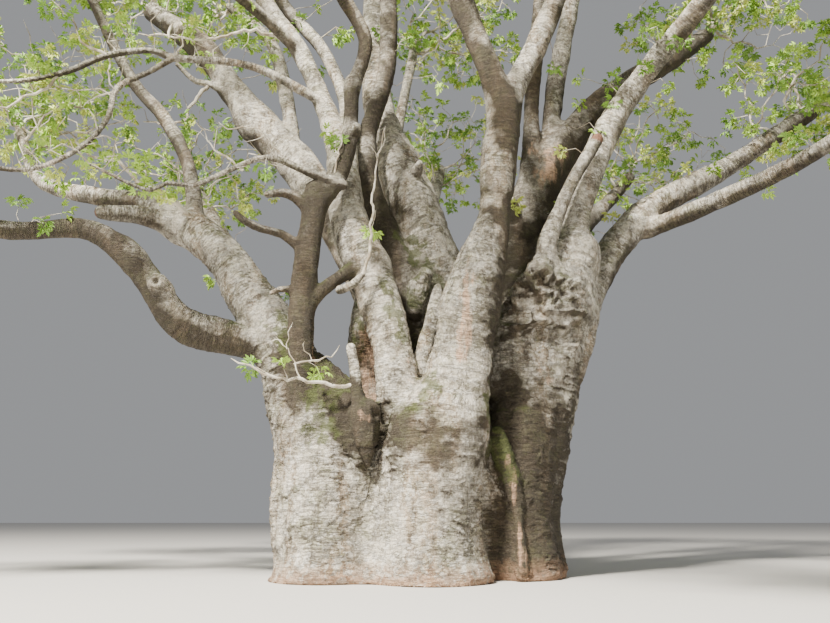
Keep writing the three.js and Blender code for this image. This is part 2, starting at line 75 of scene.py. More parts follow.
# %% The limbs
# Each is a row of waypoints: x, y, z and the limb's thickness there.
LIMBS = {
    "stem_left": [
        (-2.38, -0.4, 3.4, 1.42), (-2.9, -0.4, 4.7, 1.34), (-3.6, -0.2, 5.9, 1.06),
        (-4.9, 0.3, 7.7, 0.96), (-5.9, 0.6, 8.3, 0.86)],
    "bough_left_high": [
        (-5.7, 0.55, 8.2, 0.76), (-6.7, 0.9, 8.9, 0.64), (-8.2, 1.3, 9.3, 0.5),
        (-10, 1.8, 10, 0.36), (-11.2, 2.4, 12.2, 0.24)],
    "stub_left": [(-5.6, 0.5, 8.1, 0.6), (-6.6, 0.2, 8.35, 0.48), (-7.4, -0.3, 8.25, 0.34)],
    "branch_left_rising": [
        (-5.3, 0.45, 7.9, 0.42), (-5.75, 0.7, 9.9, 0.36), (-6.5, 0.9, 11.3, 0.35),
        (-7.5, 1.1, 12.5, 0.32), (-8.8, 0.4, 15, 0.24)],
    "bough_low_inner": [
        (-3.1, -0.4, 4.9, 0.7), (-4.4, -0.6, 5.2, 0.74), (-5.2, -0.85, 5.45, 0.72),
        (-5.7, -1, 6.1, 0.64), (-6.4, -1.3, 7, 0.56)],
    "bough_low_outer": [
        (-6.2, -1.25, 6.75, 0.54), (-7.1, -1.5, 7.35, 0.46), (-8.9, -2, 7.2, 0.4),
        (-10.4, -2.5, 7.9, 0.36), (-11.3, -3.2, 9.8, 0.28)],
    "stem_dark": [
        (-2.3, -1.05, 3.4, 0.62), (-2.45, -1.3, 5, 0.57), (-2.4, -1.45, 6.3, 0.58),
        (-2.18, -1.4, 8.3, 0.54)],
    "limb_bent_lower": [
        (-2.2, -1.4, 7.9, 0.44), (-1.75, -1.35, 8.6, 0.38), (-1.52, -1.2, 9.6, 0.36),
        (-1.48, -1.1, 11.2, 0.35)],
    "limb_bent_upper": [
        (-1.49, -1.1, 11, 0.36), (-1.2, -1, 12.4, 0.34), (-1.8, -1.3, 13.5, 0.34),
        (-2.8, -3.8, 14.3, 0.28), (-3.3, -6.4, 15.4, 0.22)],
    "branch_crooked": [
        (-1.61, -1.45, 8.45, 0.24), (-2.37, -1.65, 8.67, 0.15), (-3.21, -1.95, 8.88, 0.14),
        (-4.06, -2.25, 8.4, 0.13), (-4.66, -2.45, 8, 0.11), (-5.16, -2.6, 8, 0.1),
        (-5.46, -2.7, 7.8, 0.1), (-6.6, -3.1, 8.2, 0.08)],
    "stem_pale": [
        (-0.35, -1.2, 3.3, 0.85), (-0.5, -1.1, 4.8, 0.85), (-1.05, -0.8, 6.7, 0.98),
        (-1.55, -0.55, 8, 0.95), (-1.8, -0.2, 10.2, 0.7)],
    "bough_pale": [
        (-1.8, -0.2, 9.9, 0.56), (-2.3, 0, 11.3, 0.48), (-3, 0.1, 12.9, 0.44),
        (-3.9, 0.2, 14.3, 0.48), (-5, -0.5, 17.4, 0.38)],
    "branch_pale": [
        (-1.75, -0.1, 9.9, 0.34), (-1.7, 0.05, 11.1, 0.32), (-2.3, 0.25, 12.8, 0.32),
        (-3.6, 0.6, 14.7, 0.34), (-4.3, 0.2, 17.2, 0.28)],
    "branch_thin": [
        (-2.2, -0.1, 11.2, 0.26), (-3.99, -0.75, 11.85, 0.2), (-5.76, -1.3, 11.75, 0.17),
        (-6.11, -1.4, 11.85, 0.15), (-7.1, -1.7, 11.53, 0.15), (-7.79, -1.95, 10.99, 0.14),
        (-8.53, -2.2, 10.62, 0.12), (-9.4, -2.5, 10.4, 0.1)],
    "branch_drooping": [
        (-5.6, -1.3, 11.78, 0.15), (-6.19, -1.5, 11.21, 0.15), (-6.79, -1.65, 10.74, 0.14),
        (-6.88, -1.75, 9.96, 0.13), (-7.24, -2, 9.15, 0.13), (-7.96, -2.25, 8.54, 0.12),
        (-8.5, -2.4, 8.38, 0.11), (-9.4, -2.6, 8.5, 0.1)],
    "branch_near_left": [
        (-2.95, 0.1, 12.8, 0.3), (-4.2, -1.4, 13.3, 0.27), (-5.6, -3.2, 13.3, 0.23),
        (-7.4, -5.3, 13.8, 0.18)],
    "stem_shaded": [
        (0.25, 0.45, 4.5, 1), (-0.06, 0.5, 6.2, 0.9), (-0.78, 0.45, 8.1, 0.74),
        (-1.12, 0.35, 9.2, 0.58), (-1.2, 0.5, 10.6, 0.44), (-0.75, 0.75, 12.6, 0.48),
        (-0.9, 1.4, 18.2, 0.4)],
    "stem_back": [
        (0.6, 0.7, 3.4, 1.1), (0.62, 0.75, 6.8, 1.2), (-0.1, 1.15, 9, 1.4), (-0.95, 1.85, 12, 0.85),
        (-1.3, 2.6, 18.3, 0.5)],
    "stem_front": [
        (0.75, -1.4, 3.3, 1.55), (0.99, -1.4, 4.5, 1.31), (1.25, -1.4, 5.9, 1.2),
        (1.75, -1.25, 7.8, 0.76), (2.08, -1.1, 10.6, 0.76)],
    "stem_front_left": [
        (2.05, -1.1, 10.5, 0.66), (1.65, -1.2, 11.8, 0.64), (1.3, -1.3, 12.7, 0.57),
        (0.7, -1.6, 14.4, 0.5), (0.2, -2.8, 17.6, 0.42)],
    "stem_front_right": [
        (2.1, -1.1, 10.4, 0.58), (2.5, -0.9, 11.5, 0.56), (3, -0.75, 12.5, 0.52),
        (3.8, -0.8, 14.6, 0.45), (4.4, 0.2, 17.8, 0.38)],
    "branch_forward_middle": [
        (0.9, -1.5, 13.9, 0.34), (0.8, -4.4, 13.9, 0.28), (0.6, -8.8, 13.5, 0.2)],
    "branch_forward_right": [(3.5, -1, 13.8, 0.32), (4.2, -3, 14.3, 0.28), (4.7, -5.6, 15.3, 0.22)],
    "stem_right": [
        (2.66, 0.3, 3.6, 1.85), (2.93, 0.3, 4.8, 2.14), (3.28, 0.35, 6, 2.2),
        (3.7, 0.45, 7.4, 1.44)],
    "limb_sawn": [
        (2.98, -0.5, 6.7, 0.66), (3.09, -0.45, 7.5, 0.46), (3.41, -0.4, 8.27, 0.31),
        (3.74, -0.35, 9, 0.31), (4.42, -0.25, 10.15, 0.3)],
    "bough_right": [
        (3.56, 0.15, 6.8, 0.72), (3.82, 0.2, 8, 0.66), (4.36, 0.4, 9.6, 0.74), (5.03, 0.6, 11, 0.7),
        (5.7, 0.7, 12.1, 0.6), (8.2, -1.8, 14.7, 0.38)],
    "bough_right_low": [
        (3.72, 0.8, 5.4, 0.95), (4.45, 1.2, 6.9, 0.85), (5.95, 1.6, 8.9, 0.74),
        (8, 1.7, 10.1, 0.58), (10.6, 1.5, 11.8, 0.42)],
    "branch_right_near": [
        (6, 1.55, 8.5, 0.5), (7.7, -0.2, 8.8, 0.44), (9.3, -2.4, 9.3, 0.36),
        (10.7, -4.4, 10.6, 0.28)],
    "bough_far_right": [
        (1.9, 0.9, 4.6, 1.1), (2.6, 1.15, 7.6, 1.25), (3.5, 1.5, 10, 1.1), (5, 1.8, 12.1, 0.86),
        (8.6, 2.8, 15, 0.46)],
    "stem_tan": [
        (2.8, 1.2, 8.4, 0.52), (3.05, 1.35, 10.4, 0.5), (3.2, 1.7, 12.6, 0.46),
        (3.9, 1.8, 17.8, 0.4)],
    "stem_grey": [
        (3.3, 1.4, 9.4, 0.62), (3.65, 1.75, 11.3, 0.56), (3.95, 2, 13.1, 0.5),
        (5, 1.9, 17.9, 0.42)],
    "bough_far_left": [
        (-0.8, 1.7, 3.6, 1.15), (-0.9, 2.15, 6.2, 1), (-1.9, 2.35, 8.6, 1), (-3.3, 2.5, 10.8, 1.02),
        (-4.6, 2.7, 12.2, 1)],
    "bough_far_left_top": [
        (-4.4, 2.65, 12, 0.92), (-5.2, 2.75, 13.1, 0.84), (-6.4, 3, 14.8, 0.78),
        (-8, 3.4, 16.2, 0.55)],
    "branch_far_left": [
        (-3.3, 2.5, 10.8, 0.42), (-3.8, 2.9, 13.4, 0.4), (-4.3, 3.2, 15, 0.38),
        (-5.8, 4, 16.8, 0.3)],
    "bough_back_left": [
        (-2.1, 1.4, 3.3, 1), (-3.3, 3, 5.6, 0.74), (-4.8, 5.2, 8, 0.62), (-6.4, 7.4, 10.3, 0.52),
        (-8, 9, 13, 0.4)],
    "bough_back": [
        (0.1, 2, 3.3, 0.95), (0, 3.6, 6.6, 0.8), (0.2, 6, 9.4, 0.62), (0.9, 9.6, 13.8, 0.42)],
    "branch_back_top": [(0.1, 4.4, 7.6, 0.44), (-0.7, 5, 10.8, 0.38), (0, 6.5, 17.2, 0.3)],
    "bough_back_right": [
        (1.6, 1.8, 3.5, 0.95), (2.7, 3.6, 6.6, 0.8), (4.6, 6, 9.3, 0.62), (7.8, 9, 13.2, 0.42)],
    "stub_near": [(-0.95, -1.55, 2.3, 0.12), (-0.97, -1.62, 2.8, 0.48), (-1, -1.6, 3.3, 0.7)],
}

ROOTED = {  # stems that rise out of the trunk, and how deep they reach into it
    "stem_left": 1.0, "stem_dark": 0.6, "stem_pale": 0.8, "stem_back": 0.9, "stem_front": 1.0,
    "stem_right": 1.0, "bough_far_right": 0.7, "bough_far_left": 0.8, "bough_back_left": 0.8,
    "bough_back": 0.8, "bough_back_right": 0.8,
}

print("limbs", len(LIMBS), "of which rooted", len(ROOTED))

# %% Burls, ridges and broken side limbs, grown together with what they sit on
SWELLINGS = {
    "saddle_under_gap": [(-2.2, -0.75, 4.2, 1), (-1.72, -0.8, 3.84, 0.92), (-1.3, -0.9, 3.3, 0.9)],
    "shaded_stem_foot": [
        (-0.95, 0.1, 2.9, 1.1), (-1.12, 0.05, 4.2, 0.9), (-1.15, 0.1, 5.4, 0.8),
        (-0.95, 0.3, 6.9, 0.6)],
    "snag": [
        (-1.08, -1.7, 3.25, 0.34), (-1.19, -1.74, 3.76, 0.25), (-1.24, -1.7, 4.18, 0.23),
        (-1.34, -1.65, 4.7, 0.2)],
    "mossy_ridge": [
        (1.72, -1.15, 2.95, 0.3), (1.83, -1.1, 2.5, 0.44), (1.97, -1.05, 2, 0.4),
        (2.09, -1.02, 1.5, 0.3), (2.14, -1.05, 0.9, 0.26), (2.18, -1.12, 0.2, 0.3)],
    "shelf": [
        (1.75, -0.35, 4.15, 0.7), (2.15, -0.25, 4.4, 0.86), (2.5, -0.28, 4.4, 0.9),
        (2.85, -0.3, 4.05, 0.7)],
    "wedge_left": [(-1.15, -1.25, 2.4, 0.4), (-1.35, -1.25, 3, 0.55), (-1.45, -1.25, 3.5, 0.6)],
    "burl_right": [
        (2.5, -0.35, 5.7, 0.8), (2.62, -0.45, 6.2, 0.95), (2.95, -0.55, 6.5, 1),
        (3.35, -0.5, 6.2, 0.95)],
    "burl_low": [(2.9, -0.6, 5.7, 0.8), (3.35, -0.55, 5.6, 0.8)],
    "right_flank": [
        (2.45, -0.25, 6, 0.85), (2.22, -0.32, 5.3, 0.95), (2.12, -0.35, 4.6, 0.9),
        (2.2, -0.3, 3.8, 0.8)],
    "burl_rim": [
        (3.35, -0.55, 5.6, 0.2), (3.6, -0.5, 5.45, 0.22), (3.62, -0.5, 5.1, 0.22),
        (3.42, -0.62, 4.8, 0.16)],
    "burl_in_fork": [(0.0, -0.1, 5.9, 0.4), (0.06, -0.2, 6.35, 0.54), (0.24, -0.1, 6.75, 0.4)],
    "pale_lobe": [
        (0.12, -0.85, 4.3, 0.44), (0.2, -0.8, 4.86, 0.4), (0.36, -0.75, 5.33, 0.38),
        (0.46, -0.7, 5.8, 0.36), (0.52, -0.5, 6.3, 0.26)],
    "knot_back": [(0.0, 0.7, 9.6, 0.34), (0.12, 0.35, 9.8, 0.16)],
    "tan_knob": [(2.5, 0.8, 8.6, 0.4), (2.41, 0.5, 8.85, 0.26)],
    "dark_side_high": [
        (-2.3, -1.42, 7.8, 0.3), (-2.64, -1.5, 8.12, 0.24), (-2.93, -1.6, 8.2, 0.2),
        (-3.24, -1.7, 8.11, 0.18)],
    "dark_side_low": [
        (-2.35, -1.42, 6.85, 0.26), (-2.9, -1.6, 7.24, 0.21), (-3.31, -1.75, 7.3, 0.19),
        (-3.69, -1.9, 7.45, 0.17), (-3.86, -1.95, 7.6, 0.13)],
    "dark_side_small": [
        (-2.5, -1.45, 6.0, 0.2), (-2.89, -1.6, 5.99, 0.14), (-3.07, -1.65, 5.88, 0.11)],
    "dark_side_right": [
        (-2.3, -1.4, 5.7, 0.34), (-2.01, -1.4, 6.03, 0.28), (-1.7, -1.3, 6.3, 0.26),
        (-1.4, -1.1, 6.6, 0.3)],
    "knob_right": [(-1.62, -1.5, 6, 0.2), (-1.34, -1.65, 6.07, 0.18), (-1.11, -1.7, 6.3, 0.12)],
    "low_limb_knot": [(-5.55, -1.15, 6.1, 0.5), (-5.6, -1.3, 6.2, 0.44)],
    "bend_knot": [(-1.45, -1.2, 9.75, 0.34), (-1.35, -1.32, 9.9, 0.26)],
    "knee_side": [
        (-5.3, 2.6, 13.1, 0.4), (-5.9, 2.55, 13.28, 0.22), (-6.25, 2.45, 13.3, 0.18),
        (-6.77, 2.3, 13.76, 0.14)],
}
print("swellings", len(SWELLINGS))

# %% Hollows and clefts, as the rounded tools that would carve them
HOLLOWS = {
    "crevice": [
        (-0.6, -2, 3.5, 0.2), (-0.66, -1.85, 3.1, 0.24), (-0.7, -1.65, 2.6, 0.2),
        (-0.76, -1.45, 2.1, 0.16), (-0.82, -1.4, 1.5, 0.05)],
    "crevice_deep": [(-0.62, -1.6, 3.5, 0.2), (-0.68, -1.5, 3, 0.18), (-0.7, -1.35, 2.4, 0.1)],
    "stub_bowl": [(-0.72, -1.95, 3.42, 0.28), (-0.76, -1.85, 3.3, 0.2)],
    "right_cleft": [
        (1.5, -1.4, 2.75, 0.16), (1.56, -1.25, 2.1, 0.36), (1.66, -1.1, 1.3, 0.52),
        (1.71, -1.08, 0.6, 0.6), (1.73, -1.08, -0.1, 0.64)],
    "shaded_niche": [(1.53, -1.4, 3.75, 0.3), (1.58, -1.4, 3.3, 0.42), (1.58, -1.4, 3, 0.4)],
    "left_dent": [(-2.05, -1.72, 3.9, 0.6), (-1.95, -1.9, 3.1, 0.62), (-1.75, -1.95, 2.55, 0.4)],
    "burl_hollow": [(3.05, -0.95, 5.3, 0.3), (3.3, -0.9, 5.1, 0.44), (3.36, -0.85, 4.9, 0.3)],
    "under_shelf": [(2.0, -0.95, 3.85, 0.3), (2.35, -0.95, 3.7, 0.3)],
    "pale_scar": [(-2.08, -1.8, 8.22, 0.26), (-2.1, -1.7, 8.2, 0.16)],
    "low_limb_hole": [(-5.6, -1.6, 6.2, 0.22), (-5.6, -1.45, 6.2, 0.14)],
}

print("hollows", len(HOLLOWS))

# %% Lumps and tones of the bark
GNARLS = [  # where it is lumpy like a cauliflower: the middle, how far out, and how high
    ((2.9, -0.8, 6), 1.3, 0.22),
    ((3.4, -0.7, 5.3), 0.6, 0.12),
    ((0.08, -0.3, 6.4), 0.5, 0.08),
    ((-1.4, -1.25, 9.8), 0.35, 0.05),
    ((0.3, -2.1, 3.5), 0.7, 0.03),
    ((-0.8, -1.8, 3.5), 0.35, 0.035),
]

# Painted shade: limbs that stand in shade, such as the dark stem, the tan stem and the far right
# bough, are painted darker brown. Below 0 keeps the painted underside shade off the burls.
LIMB_BROWN_AND_SHADE = {  # how brown a limb's bark is painted, partly as painted shade
    "stem_dark": 1.25, "limb_bent_lower": 1, "limb_bent_upper": 0.6, "stem_back": 0.2,
    "stem_right": 0.1, "limb_sawn": 0.2, "bough_right": 0.1, "stem_left": 0, "bough_far_right": 1,
    "stem_tan": 0.9, "stem_grey": 0.3, "stub_near": 1.3, "dark_side_low": 1, "dark_side_right": 1.2,
    "saddle_under_gap": 1, "shaded_stem_foot": 0.5, "stem_shaded": 1, "bough_low_inner": 0.8,
    "bough_low_outer": 0.9, "branch_crooked": 0, "branch_thin": 0, "branch_drooping": 0,
    "stem_front_left": 0.6, "stem_front_right": 0.5, "burl_right": -0.4, "burl_low": -0.2,
    "right_flank": 0.55, "burl_in_fork": 0, "pale_lobe": 0, "shelf": 0.7, "bough_far_left_top": 0.5,
    "mossy_ridge": 0.6, "stub_left": 0.4, "branch_left_rising": 0.5, "bough_back_left": 0.4,
    "bough_back_right": 0.5,
}
BROWN_AND_SHADE_ELSEWHERE = 0.15

# %% The masses of foliage
MASSES = {  # middle and width
    "leaves_low_left": ((-11.1, -3.4, 10.2), 5.6),
    "leaves_left": ((-11, 2.4, 12.6), 6.2),
    "leaves_left_upper": ((-8.9, -0.2, 16), 5.6),
    "leaves_near_left": ((-7.6, -5.6, 13.9), 6.4),
    "leaves_upper_left": ((-4.9, -1, 18), 6.2),
    "leaves_far_left": ((-7.4, 5, 17.2), 6.6),
    "leaves_back_left": ((-8, 9.2, 13.6), 6.8),
    "leaves_top": ((-1.4, 2.4, 19), 6.6),
    "leaves_top_near": ((0, -3.4, 18.2), 6.2),
    "leaves_near": ((-3.2, -7.4, 15.8), 6),
    "leaves_near_right": ((4.6, -6.6, 15.9), 6.6),
    "leaves_near_low": ((0.6, -10, 13.8), 5.6),
    "leaves_upper_right": ((4.5, 1, 18.4), 6.4),
    "leaves_right_near": ((8.9, -2.6, 15.2), 6.2),
    "leaves_right_upper": ((9.4, 3.6, 16.2), 6.4),
    "leaves_right": ((11, 1.4, 12.2), 6),
    "leaves_low_right": ((10.9, -4.8, 11), 5.8),
    "leaves_back": ((1, 10.2, 14.4), 6.8),
    "leaves_back_right": ((8, 9.2, 13.8), 6.8),
    "leaves_back_top": ((1.4, 6.6, 17.6), 6.2),
}
MASS_DEPTH = 0.97  # depth against width
MASS_HEIGHT = 0.7
print("masses of foliage", len(MASSES))

# %% [markdown]
# A limb's middle line is a smooth curve through a handful of waypoints. Cut into short cones it
# can be measured: the distance from any point in space to the limb is the distance to the
# nearest cone. The stems that rise out of the trunk first reach down into it.

# %% Middle lines, as chains of short cones
CONE_LENGTH = 0.28
BASE_DEPTH = 1.4  # metres that a stem reaches down into the trunk, times its share in ROOTED
BASE_INWARD = 0.8  # how far out that foot stands, against the stem
BASE_SPREAD = 1.12  # its width against the stem's


def curve_through(points, spacing):
    """Points along a smooth curve through the waypoints, and which waypoint each lies at."""
    points = np.array(points, float)
    ends = np.vstack([2 * points[0] - points[1], points, 2 * points[-1] - points[-2]])
    places, steps = [], []
    for number in range(len(points) - 1):
        before, start, stop, after = ends[number:number + 4]
        first, middle, last = (math.sqrt(np.linalg.norm(b - a))
                               for a, b in ((before, start), (start, stop), (stop, after)))
        span = (stop - start) / middle
        leave = (start - before) / first - (stop - before) / (first + middle) + span
        arrive = span - (after - start) / (middle + last) + (after - stop) / last
        count = max(2, math.ceil(np.linalg.norm(stop - start) / spacing))
        share = (np.arange(count) / count)[:, None]
        square, cube = share * share, share * share * share  # a power could round by chance
        places.append(
            (2 * cube - 3 * square + 1) * start
            + (cube - 2 * square + share) * leave * middle
            + (3 * square - 2 * cube) * stop
            + (cube - square) * arrive * middle)
        steps.append(number + share[:, 0])
    places.append(points[-1:])
    steps.append(np.array([len(points) - 1.0]))
    return np.vstack(places), np.concatenate(steps)


def chain_of(name, rows):
    """A limb's middle line, with its radius and the length along it at each point."""
    rows = np.array(rows, float)
    path, thick = rows[:, :3], rows[:, 3]
    if name in ROOTED:
        heading = path[1] - path[0]
        foot = path[0] - heading / np.linalg.norm(heading) * BASE_DEPTH * ROOTED[name]
        path = np.vstack([foot * (BASE_INWARD, BASE_INWARD, 1), path])
        thick = np.append(thick[0] * BASE_SPREAD, thick)
    places, steps = curve_through(path, CONE_LENGTH)
    radii = np.interp(steps, range(len(thick)), thick) / 2
    lengths = np.concatenate([[0], np.cumsum(np.linalg.norm(np.diff(places, axis=0), axis=1))])
    return places, radii, lengths


CHAINS = {name: chain_of(name, rows) for name, rows in {**LIMBS, **SWELLINGS}.items()}
CARVED = {name: chain_of(name, rows) for name, rows in HOLLOWS.items()}
print("middle lines", round(sum(chain[2][-1] for chain in CHAINS.values())), "m")

# %% [markdown]
# # The bark skin
# Limbs that grow from one another have no seam: the wood swells and flows together. That is
# hard to get from joined tubes, and easy from a distance field. Each limb and each lobe of the
# trunk gives its distance, and a smooth minimum melts them together. The surface where the
# distance is zero is then drawn as a mesh. Only the blocks of space that the surface passes
# through are worked out.

# %% Distance to the trunk
LOBE_MELT = 0.12  # metres over which two lobes of the trunk melt together
FOOT_MELT = 0.6  # the same at the ground, where the lobes are one
FOOT_MELT_HEIGHT = 2.4
DOME_START = 0.75  # share of a lobe's height where it begins to close over
DOME = 0.4  # share of its width that it has lost at the top
FLARE = 0.1  # metres that the foot is wider all round
FLARE_HEIGHT = 0.7
LOBE_BEND = 1.4  # above 1: a lobe leans more towards its top
SHOULDER = 0.35  # metres over which a lobe's side rounds into its top


def smooth_min(one, other, width):
    overlap = np.maximum(width - np.abs(one - other), 0) / width
    return np.minimum(one, other) - overlap * overlap * width / 4


def lobe_distance(points, lobe):
    """Distance to a leaning, tapering lobe of the trunk with a rounded top."""
    x, y, z = points.T
    rise = np.clip(z / lobe["height"], 0, 1)
    flare = FLARE * np.maximum(0, 1 - z / FLARE_HEIGHT) ** 2
    dome = 1 - DOME * (np.maximum(0, rise - DOME_START) / (1 - DOME_START)) ** 2
    lean = rise ** LOBE_BEND
    wide, deep = ((foot + (top - foot) * rise + flare) * dome
                  for foot, top in zip(lobe["foot_size"], lobe["top_size"]))
    sides = zip((x, y), lobe["foot"], lobe["top"], (wide, deep))
    across, into = ((value - foot - (top - foot) * lean) / size for value, foot, top, size in sides)
    ring = np.sqrt(across ** 2 + into ** 2) + 1e-6
    side = (ring - 1) * ring / np.sqrt((across / wide) ** 2 + (into / deep) ** 2 + 1e-9)
    return -smooth_min(-side, lobe["height"] - z, SHOULDER)


def trunk_distance(points):
    low = np.clip(1 - points[:, 2] / FOOT_MELT_HEIGHT, 0, 1)
    melt = LOBE_MELT + (FOOT_MELT - LOBE_MELT) * low
    total = lobe_distance(points, LOBES[0])
    for lobe in LOBES[1:]:
        total = smooth_min(total, lobe_distance(points, lobe), melt)
    return total


print("bark lies", -trunk_distance(np.array([[0, 0, 2.0]])).round(2)[0], "m from the trunk's heart")

# %% Distance to limbs and hollows
LIMB_MELT = 0.55  # how softly a limb melts into what is near, as a share of its radius
HOLLOW_MELT = 0.6  # how softly a hollow's lip is rounded, as a share of its radius
FAR = 9.0  # metres, further away than anything that matters


def nearest_cone(points, places, radii):
    """Distance to a chain of cones, and the radius at the nearest place on it. Also which cone
    that is, how far along it the place lies, and the way there from its start."""
    starts, spans = places[:-1], np.diff(places, axis=0)
    away = points[:, None] - starts
    share = np.clip((away * spans).sum(2) / (spans * spans).sum(1), 0, 1)
    radius = radii[:-1] + share * np.diff(radii)
    distance = np.linalg.norm(away - share[..., None] * spans, axis=2) - radius
    cone = distance.argmin(1)
    pick = np.arange(len(points)), cone
    return distance[pick], radius[pick], cone, share[pick], away[pick]


def tree_distance(points, pieces, hollows, with_trunk):
    """Distance to everything near: `pieces` are short stretches of chains, thickest limb first."""
    total = trunk_distance(points) if with_trunk else np.full(len(points), FAR)
    for places, radii in pieces:
        distance, radius = nearest_cone(points, places, radii)[:2]
        total = smooth_min(total, distance, LIMB_MELT * radius)
    for places, radii in hollows:
        distance, radius = nearest_cone(points, places, radii)[:2]
        total = -smooth_min(-total, distance, HOLLOW_MELT * radius)
    return np.maximum(total, -points[:, 2])


# %% Which limbs matter in which block of space
VOXEL = 0.05
BLOCK = 16  # voxels along a block's side
TRUNK_SPACE = (-3.7, -3.0, 0), (4.5, 3.4, 4.8)


def blocks_near(low, high):
    side = BLOCK * VOXEL
    spans = [range(math.floor(a / side), math.floor(b / side) + 1) for a, b in zip(low, high)]
    return itertools.product(*spans)


def stretches(chains):
    """For each block of space: the stretches of the chains that matter in it, thickest first."""
    blocks = {}
    for name in sorted(chains, key=lambda name: -chains[name][1].max()):
        places, radii, _ = chains[name]
        for cone in range(len(places) - 1):
            margin = radii[cone:cone + 2].max() * (1 + LIMB_MELT) + 2 * VOXEL
            ends = places[cone:cone + 2]
            for key in blocks_near(ends.min(0) - margin, ends.max(0) + margin):
                if key[2] >= 0:
                    blocks.setdefault(key, {}).setdefault(name, []).append(cone)
    return {key: [(chains[name][0][cones[0]:cones[-1] + 2], chains[name][1][cones[0]:cones[-1] + 2])
                  for name, cones in names.items()]
            for key, names in blocks.items()}


WOOD, AIR = stretches(CHAINS), stretches(CARVED)
TRUNK_BLOCKS = set(blocks_near(*TRUNK_SPACE))
print("blocks with limbs", len(WOOD), "with hollows", len(AIR), "of the trunk", len(TRUNK_BLOCKS))


# %% The mesh where the distance is zero
def bark_surface():
    """Points and four-sided faces of the whole skin."""
    band = 3 * VOXEL
    grid = openvdb.FloatGrid(band)
    grid.gridClass = openvdb.GridClass.LEVEL_SET
    side = np.arange(BLOCK)
    offsets = np.stack(np.meshgrid(side, side, side, indexing="ij"), -1).reshape(-1, 3)
    reach = BLOCK * VOXEL * math.sqrt(3) / 2 + band
    for key in sorted(TRUNK_BLOCKS | set(WOOD)):
        pieces, hollows, with_trunk = WOOD.get(key, []), AIR.get(key, []), key in TRUNK_BLOCKS
        start = np.array(key) * BLOCK
        middle = (start + BLOCK / 2)[None] * VOXEL
        at_middle = tree_distance(middle, pieces, hollows, with_trunk)[0]
        if at_middle > reach:
            continue
        if at_middle < -reach:
            grid.fill(tuple(start.tolist()), tuple((start + BLOCK - 1).tolist()), -band, False)
            continue
        points = (start + offsets + 0.5) * VOXEL
        distance = np.clip(tree_distance(points, pieces, hollows, with_trunk), -band, band)
        values = distance.reshape(BLOCK, BLOCK, BLOCK).astype(np.float32)
        grid.copyFromArray(values, ijk=tuple(start.tolist()))
    points, faces = grid.convertToQuads()
    return np.asarray(points, float) * VOXEL + VOXEL / 2, np.asarray(faces, np.int32)


surface, surface_faces = bark_surface()
print("bare skin", len(surface), "points", len(surface_faces), "faces")

# %% [markdown]
# Old baobab bark is never smooth: it sags in swellings as wide as a hand or a chest, runs in
# folds along the stems, and wrinkles across them like an elephant's skin. Those shapes are real
# relief, so the points of the skin are moved in and out by seeded noise. To comb the noise along
# or across a limb without a seam where two limbs meet, each point's heading is a blend of the
# headings of all the limbs near it. The lower tree, which stands closest, first gets four times
# as many faces, because its wrinkles are only a hand wide.

# %% Finer faces where the tree stands closest
FINE_BELOW = 5.2
FINE_BACK = 2.9


def finer(points, faces, chosen):
    """Triangles: the chosen four-sided faces in eight, the others in two, joined without gaps."""
    following = np.roll(faces, -1, axis=1)
    low, high = np.minimum(faces, following).astype(np.int64), np.maximum(faces, following)
    keys = low * len(points) + high
    edges, edge_of = np.unique(keys, return_inverse=True)
    edge_of = edge_of.reshape(faces.shape)
    split = np.zeros(len(edges), bool)
    split[edge_of[chosen]] = True
    middle_of = np.full(len(edges), -1)
    middle_of[split] = len(points) + np.arange(split.sum())
    touched = split[edge_of].any(1)
    ends = np.stack([edges // len(points), edges % len(points)], 1)[split]
    centre = len(points) + split.sum() + np.arange(touched.sum())
    triangles = [faces[~touched][:, [0, 1, 2]], faces[~touched][:, [0, 2, 3]]]
    for corner in range(4):
        start, stop = faces[touched, corner], following[touched, corner]
        middle = middle_of[edge_of[touched, corner]]
        whole = middle < 0
        triangles.append(np.stack([start, stop, centre], 1)[whole])
        triangles.append(np.stack([start, middle, centre], 1)[~whole])
        triangles.append(np.stack([middle, stop, centre], 1)[~whole])
    more = np.vstack([points, points[ends].mean(1), points[faces[touched]].mean(1)])
    return more, np.vstack(triangles).astype(np.int32)


x, y, z = surface[surface_faces].mean(1).T
fine_points, fine_faces = finer(surface, surface_faces, (z < FINE_BELOW) & (y < FINE_BACK))
print("finer skin", len(fine_points), "points", len(fine_faces), "triangles")


# %% Smooth noise
def noise(places, seed):
    """Smooth random heights from -1 to 1, with bumps about one unit apart."""
    cell = np.floor(places).astype(np.int64)
    part = places - cell
    part = part * part * (3 - 2 * part)
    total = np.zeros(len(places))
    for corner in itertools.product((0, 1), repeat=3):
        x, y, z = (cell + corner).T
        key = (x * 374761393 + y * 668265263 + z * 2147483647 + seed * 1274126177) & 0xFFFFFFFF
        key = ((key ^ (key >> 13)) * 1103515245) & 0xFFFFFFFF
        key = ((key ^ (key >> 16)) * 668265263) & 0xFFFFFFFF
        height = ((key ^ (key >> 15)) & 0xFFFF) / 32767.5 - 1
        weight = np.prod(np.where(corner, part, 1 - part), axis=1)
        total += height * weight
    return total


def unit(vectors):
    return vectors / (np.linalg.norm(vectors, axis=-1, keepdims=True) + 1e-12)


def outward(points, faces):
    """The direction out of the skin at each point."""
    first, second, third = points[faces.T]
    across = np.cross(second - first, third - first)
    return unit(np.stack([np.bincount(faces.ravel(), np.repeat(across[:, axis], 3), len(points))
                          for axis in range(3)], 1))


print("noise", noise(np.array([[0.5, 0.5, 0.5]]), SEED).round(3))

